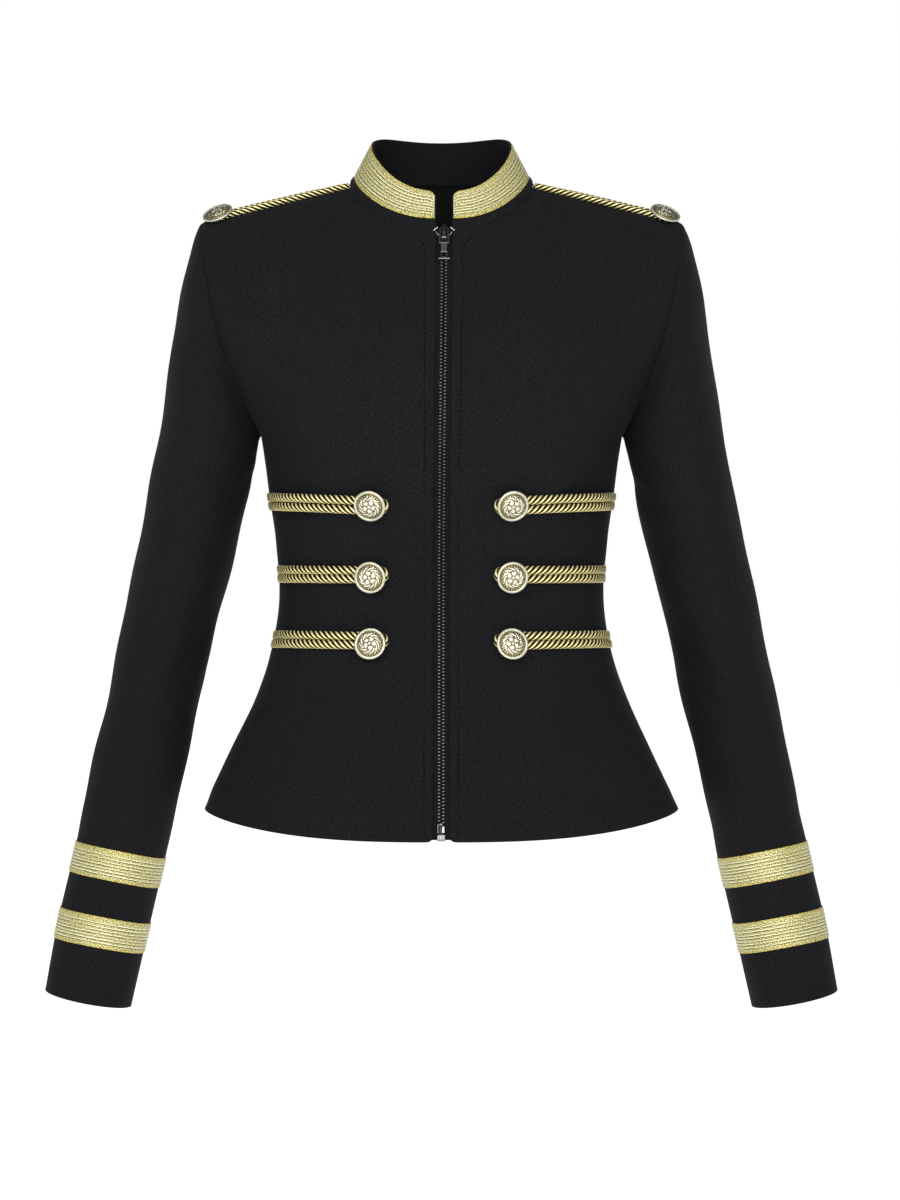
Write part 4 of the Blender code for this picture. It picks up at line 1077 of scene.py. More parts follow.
def make_panel(name, side, hand, creases, material):
    """A front or back: the CAD's surface, with creases, sunken seams and rounded edges."""
    part, rise = panel_places(side)
    base = panel_point(side, part, rise)
    across, up = run_length(base, 1), run_length(base, 0)
    from_side, from_top = across[:, -1:] - across, up[-1:] - up
    normals = panel_facing(side, part, rise, from_side, from_top)
    push = crease_push(base[..., 0], base[..., 2], creases)
    shift = 1 if hand > 0 else RIGHT_BODY_SWELLS
    push += swell_push(base[..., 0] * shift, base[..., 2], hand * side)
    push += armpit_push(base, normals)
    seam, free = np.minimum(from_side, from_top), up
    if side > 0:
        seam = np.minimum(seam, across)
        base[:, 0, 0] -= SEAM_OVERLAP
    else:
        free = np.minimum(free, across)
    push *= ease(np.minimum(seam, free) / CREASE_FADE)
    groove = SEAM_SINK * np.exp(-seam / SEAM_REACH)
    if side < 0:
        push += ZIP_FOLD_HIGH * np.exp(-(((across - ZIP_FOLD_OUT) / ZIP_FOLD_WIDE) ** 2))
        groove = groove + STITCH_GROOVE * stitch_near(base)
        base[..., 2] += corner_rise(across) * np.exp(-up / HEM_CORNER)
    outer, inner = cloth_sides(base, normals, push, groove, round_inset(free))
    uv = stack(across, base[..., 2])
    piece = shell(f"{name}_{side_name(hand)}_cloth", outer, inner, uv, material, hand)
    return declare(piece, f"{name}_{side_name(hand)}", cut_size(outer))


def sleeve_alongs(count):
    """Places along the sleeve, evenly spaced on its outer edge, with extra ones at its ends."""
    fine = np.linspace(0, 1, 800)
    outside = run_length(sleeve_point(fine, 0 * fine)[:, None], 0)[:, 0]
    wanted = spread(count, SLEEVE_REACH) * outside[-1]
    return np.interp(wanted, outside, fine)


def make_sleeve(hand, material):
    along = sleeve_alongs(SLEEVE_ROWS)
    angle = np.arange(SLEEVE_ROUND) * math.tau / SLEEVE_ROUND
    along, angle = np.meshgrid(along, angle, indexing="ij")
    base = sleeve_point(along, angle)
    normals = sleeve_normal(along, angle)
    down = run_length(base, 0)
    from_cuff = down[-1:] - down
    near_top = np.exp(-down / SEAM_SHARED)
    normals = unit(mix(normals, armhole_outward(angle), near_top[..., None]))
    push = crease_push(
        angle * SLEEVE_RADIUS, base[..., 2], sleeve_creases(hand), math.tau * SLEEVE_RADIUS
    )
    shift = 1 if hand > 0 else RIGHT_SLEEVE_SWELLS
    push += swell_push(base[..., 1], base[..., 2] * shift, hand)
    braid_top = CUFF_BRAIDS[1][1] + BRAID_WIDE
    push *= ease(down / SLEEVE_CREASE_FADE) * ease((from_cuff - braid_top) / SLEEVE_CREASE_FADE)
    groove = SEAM_SINK * np.exp(-down / SEAM_REACH)
    outer, inner = cloth_sides(base, normals, push, groove, round_inset(from_cuff))
    full = np.concatenate([angle, angle[:, :1] + math.tau], axis=1)
    height = np.concatenate([base[..., 2], base[:, :1, 2]], axis=1)
    uv = stack(full * SLEEVE_RADIUS, height)
    name = f"sleeve_{side_name(hand)}"
    piece = shell(name + "_cloth", outer, inner, uv, material, hand, closed=True)
    return declare(piece, name, cut_size(outer, closed=True))


# ---- braids -------------------------------------------------------------------------------------


def braid_rise(across):
    """How far the braid's outside lies above its back, with its woven lines sunk in."""
    height = np.full_like(across, BRAID_THICK)
    for share, depth, half_width in BRAID_LINES:
        height -= depth * np.exp(-(((across - share * BRAID_WIDE) / half_width) ** 2))
    edge = np.minimum(across, BRAID_WIDE - across)
    return height * mix(BRAID_EDGE_HIGH, 1.0, np.sqrt(np.clip(edge / BRAID_EDGE_WIDE, 0, 1)))


def braid_across():
    """Places across the braid, with the smallest spacing at its edges."""
    even = np.linspace(0, 1, BRAID_ROWS)
    return np.unique(np.append(even, BRAID_EDGE_ROWS)) * BRAID_WIDE


def braid_sides(base, normals, rise):
    """The braid's outside and its back, just clear of the cloth."""
    return base + normals * (BRAID_LIFT + rise)[..., None], base + normals * BRAID_LIFT


def cuff_distances():
    """Places along the sleeve and how far up from the cuff its middle is there."""
    fine = np.linspace(0, 1, 1200)
    middle = (sleeve_point(fine, 0 * fine) + sleeve_point(fine, 0 * fine + np.pi)) / 2
    run = run_length(middle[:, None], 0)[:, 0]
    return fine, run[-1] - run


def make_cuff_braid(name, distance, hand, material):
    fine, up = cuff_distances()
    across = braid_across()
    angle = np.arange(CUFF_BRAID_ROUND) * math.tau / CUFF_BRAID_ROUND
    across, angle = np.meshgrid(across, angle, indexing="ij")
    level = distance + CUFF_BRAID_RISE * np.sin(angle) ** 2 * (np.sin(angle) > 0)
    level = level + CUFF_BRAID_TILT * (1 - np.cos(angle)) / 2
    along = np.interp(-(level + across * CUFF_BRAID_SHARE), -up, fine)
    base = sleeve_point(along, angle)
    normals = sleeve_normal(along, angle)
    outer, inner = braid_sides(base, normals, braid_rise(across))
    full = np.concatenate([angle, angle[:, :1] + math.tau], axis=1) * SLEEVE_RADIUS * hand
    wide = np.concatenate([across, across[:, :1]], axis=1)
    node = f"cuff_braid_{name}_{side_name(hand)}"
    piece = shell(node + "_weave", outer, inner, stack(full, wide), material, hand, closed=True)
    cut = cut_size(outer, closed=True)
    return declare(piece, node, cut)


# ---- collar -------------------------------------------------------------------------------------


def collar_angles():
    """Angles round half the neck from the front, closest together at the rounded corner."""
    fine = np.linspace(0, np.pi, 2000)
    run = run_length(neckline(fine, COLLAR_GAP_HALF)[:, None], 0)[:, 0]
    corner = np.array([*EDGE_STEPS, *COLLAR_CORNER_COLUMNS])
    rest = np.linspace(corner[-1], run[-1], COLLAR_COLUMNS)[1:]
    wanted = np.concatenate([corner, rest])
    return np.interp(wanted, run, fine), wanted


def collar_half(reach, margin):
    """Base points, up vectors and normals of half the collar at some shares of its height."""
    angles, distance = collar_angles()
    kept = distance >= margin
    angles, distance = angles[kept], distance[kept]
    heights = (COLLAR_FRONT_HEIGHT, COLLAR_SIDE_HEIGHT, COLLAR_BACK_HEIGHT)
    base = neckline(angles, COLLAR_GAP_HALF)
    top = neck_ring(angles, COLLAR_SIDE, COLLAR_FRONT, COLLAR_BACK, heights, COLLAR_GAP_HALF)
    full = np.linalg.norm(top - base, axis=-1)
    up = (top - base) / full[:, None]
    left = np.clip(COLLAR_CORNER - distance, 0, None)
    drop = COLLAR_CORNER - np.sqrt(np.maximum(COLLAR_CORNER**2 - left**2, 0))
    stretch = (full - drop - COLLAR_BASE) / (COLLAR_HEIGHT - COLLAR_BASE)
    high = np.minimum(reach, COLLAR_BASE)[:, None]
    high = high + np.maximum(reach - COLLAR_BASE, 0)[:, None] * stretch[None]
    points = base[None] + up[None] * high[..., None]
    normals = unit(np.cross(np.gradient(points, axis=1), up[None]))
    near_seam = np.exp(-np.maximum(reach, 0) / COLLAR_SEAM_REACH)[:, None, None]
    normals = unit(mix(normals, neck_outward(angles)[None], near_seam))
    return points, normals, distance


def collar_surface(reach, margin=0.0):
    """The collar from its left front end round to the right one: points, normals, distance
    from the left end and distance from the nearer end."""
    points, normals, distance = collar_half(reach, margin)
    flip = np.array([-1, 1, 1])
    whole = np.concatenate([points, points[:, -2::-1] * flip], axis=1)
    facing = np.concatenate([normals, normals[:, -2::-1] * flip], axis=1)
    nearer = np.concatenate([distance, distance[-2::-1]])
    travelled = run_length(whole[:1], 1)[0]
    return whole, facing, travelled, nearer - margin


def make_collar(material):
    even = np.linspace(-COLLAR_TUCK, COLLAR_HEIGHT, COLLAR_ROWS)
    reach = np.unique(np.append(even, COLLAR_HEIGHT - np.array(EDGE_STEPS[:5])))
    base, normals, travelled, nearer = collar_surface(reach)
    from_top = COLLAR_HEIGHT - reach[:, None]
    inset = round_inset(np.minimum(from_top, nearer[None]))
    sink = SEAM_SINK * np.exp(-np.maximum(reach, 0) / SEAM_REACH)[:, None]
    within = np.sin(np.pi * np.clip(reach / COLLAR_BASE, 0, 1))[:, None]
    sideward = ease(nearer[None] / COLLAR_BULGE_LONG)
    bulge = within * mix(COLLAR_BULGE_FRONT, COLLAR_BULGE_SIDE, sideward)
    outer = base + normals * (bulge - inset - sink)[..., None]
    inner = base - normals * (CLOTH - inset)[..., None]
    uv = stack(travelled[None] + 0 * base[..., 0], reach[:, None])
    piece = shell("collar_cloth", outer, inner, uv, material, 1)
    return declare(piece, "collar", cut_size(outer))


def make_collar_braid(material):
    across = braid_across()
    base, normals, travelled, nearer = collar_surface(COLLAR_BASE + across, COLLAR_MARGIN)
    end = mix(BRAID_EDGE_HIGH, 1.0, np.sqrt(np.clip(nearer / BRAID_EDGE_WIDE, 0, 1)))
    outer, inner = braid_sides(base, normals, braid_rise(across)[:, None] * end[None])
    uv = stack(travelled[None] + 0 * base[..., 0], across[:, None])
    piece = shell("collar_braid_weave", outer, inner, uv, material, 1)
    return declare(piece, "collar_braid", cut_size(outer))


# ---- cords --------------------------------------------------------------------------------------


def front_turn(out, height):
    side = body_at(height)[0]
    part = np.clip((out - ZIP_OPENING) / (side - ZIP_OPENING), 0, 1)
    return np.arcsin(part ** (BODY_ROUNDNESS / 2)) / (np.pi / 2)


def front_frame(turn, height, step=1e-3):
    """Points and outward directions of the front below the armpit."""
    point = section_point(-1, height, turn)
    low, high = np.maximum(turn - step, 0), np.minimum(turn + step, 1)
    across = section_point(-1, height, high) - section_point(-1, height, low)
    up = section_point(-1, height + step, turn) - section_point(-1, height - step, turn)
    return point, unit(np.cross(across, up))


def swell(distance):
    """1 beside the button's shank, falling smoothly to 0 where the cords lie side by side."""
    near = np.maximum(0.0, 1 - np.abs(distance) / LOOP_SWELL_LONG)
    return np.sin(near * np.pi / 2) ** 2


def loop_plan(far, end, onward):
    """A doubled cord seen flat: distances out and distances from the loop's middle line."""
    bend = CORD_SPACING / 2
    there = np.linspace(far, end, PATH_STEPS)
    angle = np.linspace(0, np.pi, LOOP_BEND_STEPS)[1:-1]
    out = np.concatenate([there, end + onward * LOOP_BEND_LONG * np.sin(angle), there[::-1]])
    apart = np.concatenate([0 * there + bend, bend * np.cos(angle), 0 * there - bend])
    return out, apart


def strand_beside_shank():
    return SHANK_RADIUS + CORD_RADIUS


def front_loop_path(row):
    """The middle line, outward direction and flatness of a cord loop on the front."""
    _, at_button, at_side, button_height = row
    level = np.array(at_button)
    side = float(body_at(level)[0])
    far = float(section_point(-1, level, np.array(CORD_END_TURN))[0])
    out, apart = loop_plan(far, BUTTON_OUT - LOOP_REACH + LOOP_BEND_LONG, -1)
    travelled = np.maximum(out - BUTTON_OUT, 0) / (side - BUTTON_OUT)
    height = mix(at_button, at_side, travelled) + apart
    beside = button_height + np.sign(apart) * strand_beside_shank()
    height = mix(height, beside, swell(out - BUTTON_OUT))
    turn = front_turn(out, np.full_like(out, at_button))
    flatness = mix(1.0, CORD_FLAT_END, ease((turn - CORD_FLAT_FROM) / (1 - CORD_FLAT_FROM)))
    point, outward = front_frame(turn, height)
    lift = (CORD_CLEAR / 2 + CORD_RADIUS) * flatness
    return point + outward * lift[:, None], outward, flatness


def shoulder_frame(out, ahead):
    """Points and outward directions on the shoulder, so far out along its seam and so far
    ahead of the seam or, below zero, behind it."""
    part = mix(NECK_PART, 1.0, (out - NECK_SIDE) / (SHOULDER_OUT - NECK_SIDE))
    found = []
    for side in (-1, 1):
        low, high = np.full_like(out, SHOULDER_LOW_RISE), np.ones_like(out)
        for _ in range(30):
            rise = (low + high) / 2
            deeper = np.abs(panel_point(side, part, rise)[..., 1]) > np.abs(ahead)
            low, high = np.where(deeper, rise, low), np.where(deeper, high, rise)
        found.append((panel_point(side, part, rise), panel_normal(side, part, rise)))
    (front, front_out), (back, back_out) = found
    before = (ahead > 0)[..., None]
    return np.where(before, front, back), np.where(before, front_out, back_out)


def shoulder_loop_path():
    start = NECK_SIDE - SHOULDER_CORD_TUCK
    out, apart = loop_plan(start, SHOULDER_BUTTON_OUT - SHOULDER_LOOP_SHORT, 1)
    beside = np.sign(apart) * strand_beside_shank()
    apart = mix(apart, beside, swell(out - SHOULDER_BUTTON_OUT))
    ahead = SHOULDER_BUTTON_AHEAD * ease((out - start) / (SHOULDER_BUTTON_OUT - start))
    point, outward = shoulder_frame(out, ahead + apart)
    return point + outward * SHOULDER_CORD_LIFT, outward, np.ones_like(out)


def along_path(points, extras, step):
    """A path's points and what goes with them, at even steps."""
    run = run_length(points[:, None], 0)[:, 0]
    wanted = np.linspace(0, run[-1], max(int(run[-1] / step), 2))
    resample = [np.stack([np.interp(wanted, run, c) for c in v.T], 1) for v in (points, *extras)]
    return wanted, resample


def smoothed(values, passes):
    """A path's values with small kinks taken out; its ends stay."""
    values = np.array(values, float)
    for _ in range(passes):
        values[1:-1] = (values[:-2] + 2 * values[1:-1] + values[2:]) / 4
    return values


def make_cord(name, path, hand, material, cord_radius, worn_ends):
    """A twisted cord of several strands along a path, worn flat at its sewn-down ends."""
    points, outward, flatness = path
    run, (points, outward, flatness) = along_path(points, (outward, flatness[:, None]), CORD_STEP)
    points = smoothed(points, CORD_POINT_PASSES)
    outward = unit(smoothed(outward, CORD_OUTWARD_PASSES))
    ahead = unit(np.gradient(points, axis=0))
    across = unit(np.cross(outward, ahead))
    out = np.cross(ahead, across) * flatness
    phase = np.arange(CORD_SIDES) * math.tau / CORD_SIDES
    lobe = np.abs(np.cos(CORD_STRANDS * phase / 2)) ** CORD_LOBE_POWER
    wear_and_highlight = ease(CORD_WORN_FULL - np.minimum(run, run[-1] - run) / CORD_WORN_LONG) * worn_ends
    valley = mix(CORD_VALLEY, CORD_WORN_VALLEY, wear_and_highlight)[:, None]
    radius = cord_radius * mix(valley, 1.0, lobe[None])
    angle = phase[None] - math.tau * run[:, None] / CORD_LEAD
    ring = across[:, None] * np.cos(angle)[..., None] + out[:, None] * np.sin(angle)[..., None]
    grid = points[:, None] + ring * radius[..., None]
    full = np.concatenate([phase, [math.tau]]) * CORD_RADIUS
    uv = stack(run[:, None] * hand, full[None])
    # The crest mark places painted shade between the strands and a painted highlight on their crests.
    marks = {
        "crest": (0 * angle + lobe, (CORD_END_CREST, CORD_END_CREST)),
        "wear_and_highlight": (0 * angle + wear_and_highlight[:, None], (1.0, 1.0)),
    }
    return capped_tube(name, grid, hand, material, marks, uv)


# ---- buttons ------------------------------------------------------------------------------------


def on_ring(share, ring, sharpness=4):
    """1 on a ring of the button's face, falling to 0 beside it."""
    middle, half_width = ring
    return np.exp(-(((share - middle) / half_width) ** sharpness))


def face_relief(share, angle):
    """The embossed face: a rosette inside a ring of leaves and a ring of beads, 0 to 1."""
    petals = np.abs(np.cos(PETALS / 2 * angle + PETAL_CURL * np.sin(7 * share))) ** 0.8
    rosette = 1.1 * petals * on_ring(share, PETAL_RING)
    leaves = np.abs(np.sin(LEAVES / 2 * angle + LEAF_SLANT * share)) ** 0.9
    wreath = leaves * on_ring(share, LEAF_RING)
    beads = 0.8 * (0.5 + 0.5 * np.cos(BEADS * angle)) * on_ring(share, BEAD_RING, sharpness=2)
    boss = on_ring(share, BOSS)
    grain = 0.25 * np.sin(11 * angle + 40 * share) * np.sin(17 * angle - 31 * share + 1.3)
    return np.clip(rosette + wreath + beads + boss + grain, 0, 1.2)


def button_grid():
    """Radius, height and relief of a button's rings, from its shank out and in to its crown."""
    angle = np.arange(BUTTON_ROUND) * math.tau / BUTTON_ROUND
    radii = [SHANK_RADIUS, SHANK_RADIUS] + [r * BUTTON_RADIUS for r, _ in BUTTON_RIM]
    heights = [CORD_CLEAR, BUTTON_BACK] + [BUTTON_BACK + h * RIM_HIGH for _, h in BUTTON_RIM]
    radius = np.repeat(np.array(radii)[:, None], BUTTON_ROUND, axis=1)
    height = np.repeat(np.array(heights)[:, None], BUTTON_ROUND, axis=1)
    relief = np.full_like(radius, RIM_BRIGHT)
    # The groove inside the rim is darkened all round as painted shade.
    relief[-2:] = GROOVE_PAINTED_SHADE
    rim = np.concatenate([np.ones(len(radii) - 1), np.zeros(FACE_RINGS + 1)])
    share = np.linspace(FACE_START, FACE_END, FACE_RINGS)[:, None] + 0 * angle[None]
    raised = face_relief(share, angle[None] + 0 * share)
    dome = FACE_LOW + FACE_DOME * np.sqrt(np.clip(1 - (share / FACE_DOME_WIDE) ** 2, 0, 1))
    fade = ease((FACE_START - share) / FACE_FADE)
    face = BUTTON_BACK + dome + RELIEF_HIGH * raised * fade
    radius = np.concatenate([radius, share * BUTTON_RADIUS])
    height = np.concatenate([height, face])
    relief = np.concatenate([relief, mix(GROOVE_PAINTED_SHADE, raised, fade)])
    return angle, radius, height, relief, np.repeat(rim[:, None], BUTTON_ROUND, axis=1)


def make_button(name, point, outward, hand, material, turned=0.0):
    angle, radius, height, relief, rim = button_grid()
    across = unit(np.cross(outward, np.array([0, 0, 1.0])))
    up = np.cross(across, outward)
    angle = angle + turned
    ring = across * np.cos(angle)[:, None] + up * np.sin(angle)[:, None]
    grid = point + outward * height[..., None] + ring[None] * radius[..., None]
    marks = {"relief": (relief, (0.5, 1.0)), "rim": (rim, (1.0, 0.0))}
    return capped_tube(name, grid, hand, material, marks)


# ---- zip ----------------------------------------------------------------------------------------


def make_tape(hand, material):
    low = HEM_SIDE_HEIGHT - HEM_FRONT_DIP + TAPE_SHORT
    height = np.linspace(low, TAPE_TOP_HEIGHT, TAPE_ROWS)
    turn = np.linspace(TAPE_INNER, TAPE_OUTER, TAPE_COLUMNS)
    middle, normal = centre_point(height), centre_normal(height)
    edge_drop = np.clip(turn - ZIP_OPENING, 0, None) ** 2 * TAPE_EDGE_DROP
    base = middle[:, None] + turn[None, :, None] * np.array([1.0, 0, 0])
    base = base + np.array([0, 1.0, 0]) * edge_drop[None, :, None]
    bead = TAPE_BEAD_HIGH * np.exp(-(((turn - TAPE_INNER) / TAPE_BEAD_WIDE) ** 2))
    outer = base - normal[:, None] * (TAPE_BELOW - bead)[None, :, None]
    inner = base - normal[:, None] * (TAPE_BELOW + TAPE_THICK)
    uv = stack(turn[None] + 0 * height[:, None], height[:, None])
    node = f"zip_tape_{side_name(hand)}"
    piece = shell(node + "_weave", outer, inner, uv, material, hand)
    cut = cut_size(outer)
    return declare(piece, node, cut)


def prism(outline, low, high, bevel=0.0002):
    """Points and faces of a plate with chamfered edges: a 2-D outline between two levels."""
    outline = np.asarray(outline, float)
    tangent = np.roll(outline, -1, 0) - np.roll(outline, 1, 0)
    outward = unit(np.stack([tangent[:, 1], -tangent[:, 0]], 1))
    if np.cross(outline, np.roll(outline, -1, 0)).sum() < 0:
        outward = -outward
    rings = ((low, -bevel), (low + bevel, 0), (high - bevel, 0), (high, -bevel))
    points = np.concatenate(
        [stack(*(outline + outward * grow).T, level) for level, grow in rings]
    )
    rows, columns = len(rings), len(outline)
    return points, ring_faces(rows, columns) + end_faces(rows, columns)


def box_outline(left, right, low, high, corner=0.0004, steps=4):
    """A rectangle with rounded corners."""
    points = []
    corners = ((right, high, 0), (left, high, 1), (left, low, 2), (right, low, 3))
    for x, y, quarter in corners:
        middle_x = x - corner if x == right else x + corner
        middle_y = y - corner if y == high else y + corner
        for step in range(steps + 1):
            angle = (quarter + step / steps) * math.pi / 2
            points.append((middle_x + corner * math.cos(angle), middle_y + corner * math.sin(angle)))
    return points


def mirrored(half):
    """A whole outline from its right half, which runs from the top down."""
    return [*half, *((-x, y) for x, y in half[::-1] if x > 0)]


def bar_ring(path, half_wide, half_thick):
    """A closed ring of rectangular bar along a flat path, with chamfered edges."""
    path = np.asarray(path, float)
    tangent = unit(np.roll(path, -1, 0) - np.roll(path, 1, 0))
    side = np.stack([tangent[:, 1], -tangent[:, 0]], 1)
    points = []
    for x, z in BAR_SECTION:
        flat = path + side * x * half_wide
        points.append(stack(flat[:, 0], flat[:, 1], z * half_thick))
    points = np.stack(points, 1).reshape(-1, 3)
    return points, ring_faces(len(path), len(BAR_SECTION), closed_along=True)


def joined(parts):
    """Several bodies' points and faces as one, and a mark for each body's painted highlight."""
    points, faces, painted_highlight, start = [], [], [], 0
    for some, theirs, bright in parts:
        if volume(some, theirs) < 0:
            theirs = [face[::-1] for face in theirs]
        points.append(some)
        faces += [[corner + start for corner in face] for face in theirs]
        painted_highlight.append(np.full(len(some), float(bright)))
        start += len(some)
    return np.concatenate(points), faces, {"painted_highlight": np.concatenate(painted_highlight)}


def hard_piece(name, parts, material, origin=(0, 0, 0), axes=np.eye(3)):
    points, faces, marks = joined(parts)
    place = placed(points, np.asarray(origin), axes)
    return new_piece(name, place, faces, material, marks=marks, smooth=False)


def axes_at(height):
    """Origin and axes on the front opening: across, up along the zip, out of the cloth."""
    height = np.array(float(height))
    normal = centre_normal(height)
    up = np.array([0, normal[2], -normal[1]])
    return centre_point(height), np.stack([np.array([1.0, 0, 0]), up, normal])


def placed(points, origin, axes):
    return origin + np.asarray(points) @ axes


def chain_depth():
    return TAPE_BELOW + TAPE_THICK / 2 - CHAIN_THICK / 2


def tooth():
    """One tooth, from the tape to its rounded head past the middle, and its crest with a painted
    highlight.
    """
    stem = [(-CHAIN_HALF, -TOOTH_STEM_HALF), (TOOTH_STEM_END, -TOOTH_STEM_HALF)]
    stem += [(TOOTH_NECK, -TOOTH_HALF)]
    head = []
    for turn in TOOTH_HEAD_TURN:
        head.append((TOOTH_HEAD + TOOTH_HALF * math.cos(turn), TOOTH_HALF * math.sin(turn)))
    outline = stem + head + [(x, -y) for x, y in stem[::-1]]
    crest = box_outline(*TOOTH_CREST, corner=0.0002, steps=1)
    return (*prism(outline, *TOOTH_LEVELS, 0.0003), 0), (*prism(crest, *TOOTH_CREST_LEVELS), 1)


def make_teeth(material):
    low = HEM_SIDE_HEIGHT - HEM_FRONT_DIP + PIN_TOP + TOOTH_PITCH / 2
    high = SLIDER_TOP_HEIGHT - SLIDER_HALF_LONG
    parts = []
    count = int((high - low) / TOOTH_PITCH)
    for number in range(2 * count):
        side = 1 if number % 2 else -1
        height = low + number * TOOTH_PITCH / 2
        origin, axes = axes_at(height)
        # The crests' painted highlight is strongest at the bottom of the zip and weaker towards the top.
        wear_and_highlight = mix(TEETH_SHINE_LOW, TEETH_SHINE_HIGH, number / (2 * count))
        for points, faces, painted_highlight in tooth():
            turned = points * np.array([side, 1, 1]) - np.array([0, 0, chain_depth()])
            parts.append((placed(turned, origin, axes), faces, painted_highlight * wear_and_highlight))
    return declare(hard_piece("zip_teeth", parts, material), "zip_chain")


def crown_sweep(front):
    """The arched bridge over the slider that the pull's eye hangs on."""
    angles = np.linspace(0, np.pi, CROWN_STEPS)
    height = CROWN_BASE + CROWN_ARCH * np.sin(angles) ** CROWN_SQUARENESS
    middle = stack(0 * angles, CROWN_REACH * np.cos(angles), height)
    points = []
    for point, angle in zip(middle, angles):
        outward = unit(np.array([0, math.cos(angle), math.sin(angle) + CROWN_TILT]))
        wide = CROWN_HALF + CROWN_SPREAD * abs(math.cos(angle))
        for x, z in CROWN_SECTION:
            points.append(point + np.array([x * wide, 0, front]) + outward * z * CROWN_BAR / 2)
    rows, columns = len(angles), len(CROWN_SECTION)
    return np.array(points), ring_faces(rows, columns) + end_faces(rows, columns)


def slider_plates(front_low, front, back_high):
    """The slider's front plate with its raised middle, its back plate and the wedge between."""
    outline = mirrored(SLIDER_SIDE)
    across, along = SLIDER_FACE_SHARE
    face = [(x * across, SLIDER_FACE_UP + y * along) for x, y in outline]
    face_low, face_high = (front + level for level in SLIDER_FACE_LEVELS)
    wedge = box_outline(*SLIDER_WEDGE)
    return [
        (*prism(outline, front_low, front, SLIDER_EDGE), SLIDER_SHINE),
        (*prism(face, face_low, face_high, FINE_EDGE), 0.0),
        (*prism(outline, back_high - SLIDER_PLATE, back_high, SLIDER_EDGE), SLIDER_BACK_SHINE),
        (*prism(wedge, back_high - SLIDER_WEDGE_SUNK, front), SLIDER_BACK_SHINE),
    ]


def slider_flanges(front_low, front):
    """The folded edges at the sides of the slider's narrow end, bright with a painted highlight."""
    inside, outside, low, high = SLIDER_FLANGE
    below, above = SLIDER_FLANGE_LEVELS
    parts = []
    for left, right in ((-outside, -inside), (inside, outside)):
        flange = box_outline(left, right, low, high, 0.0003)
        points, faces = prism(flange, front_low + below, front + above, FINE_EDGE)
        parts.append((points, faces, SLIDER_FLANGE_SHINE))
    return parts


def make_slider(material):
    front_low = SLIDER_CHANNEL - chain_depth()
    front = front_low + SLIDER_PLATE
    back_high = -chain_depth() - CHAIN_THICK - SLIDER_CHANNEL
    crown_low, crown_high = (front + level for level in CROWN_END_LEVELS)
    parts = slider_plates(front_low, front, back_high)
    parts.append((*crown_sweep(front), SLIDER_SHINE))
    # The end of the bridge carries a full painted highlight.
    parts.append((*prism(box_outline(*CROWN_END), crown_low, crown_high, 0.0003), 1.0))
    parts += slider_flanges(front_low, front)
    place = axes_at(SLIDER_TOP_HEIGHT - SLIDER_HALF_LONG)
    piece = hard_piece("zip_slider_detail", parts, material, *place)
    return declare(piece, "zip_slider")


def slanted_bar(start, end, half_wide):
    """The outline of a bar between two places, its ends cut square."""
    start, end = np.array(start), np.array(end)
    along = (end - start) / np.linalg.norm(end - start)
    side = np.array([-along[1], along[0]]) * half_wide
    return [start - side, end - side, end + side, start + side]


def make_top_stops(material):
    """The zip's folded ends, a pair of slanted bars on each side of the slider, bright as painted
    highlights.
    """
    parts = []
    for side in (-1, 1):
        for start, end, half_wide, painted_highlight in TOP_STOPS:
            bar = slanted_bar(start, end, half_wide)
            points, faces = prism(bar, *TOP_STOP_LEVELS)
            parts.append((points * np.array([side, 1, 1]), faces, painted_highlight))
    piece = hard_piece("zip_top_stops", parts, material, *axes_at(NECK_FRONT_HEIGHT))
    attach(piece, "garment")
    return piece


def rounded_square(half_x, half_y, middle_y, steps=24):
    """A ring of places between a circle and a square."""
    places = []
    for angle in np.linspace(0, math.tau, steps, endpoint=False):
        x, y = math.cos(angle), math.sin(angle)
        x, y = (math.copysign(abs(v) ** 0.6, v) for v in (x, y))
        places.append((half_x * x, middle_y + half_y * y))
    return places


def pull_parts():
    """The pull from its eye on the bridge down to the flange at its end."""
    hole = rounded_square(PULL_HOLE_HALF, PULL_HOLE_HIGH, PULL_HOLE_MIDDLE)
    plate = mirrored(PULL_PLATE)
    parts = [
        (*bar_ring(mirrored(PULL_EYE), *PULL_RING), PULL_EYE_SHINE),
        (*prism(plate, -PULL_PLATE_HALF_THICK, PULL_PLATE_HALF_THICK), PULL_PLATE_SHINE),
        (*bar_ring(hole, *PULL_RING), PULL_HOLE_SHINE),
    ]
    for half_wide, low, high, half_thick, rounding, painted_highlight in PULL_BARS:
        bar = box_outline(-half_wide, half_wide, low, high)
        parts.append((*prism(bar, -half_thick, half_thick, rounding), painted_highlight))
    return parts


def make_pull(material):
    origin, axes = axes_at(SLIDER_TOP_HEIGHT - SLIDER_HALF_LONG)
    out = -chain_depth() + SLIDER_CHANNEL + SLIDER_PLATE + (CROWN_HIGH - CROWN_BAR) / 2
    piece = hard_piece("zip_pull_detail", pull_parts(), material, origin + axes[2] * out, axes)
    return declare(piece, "zip_pull", body="zip_pull")


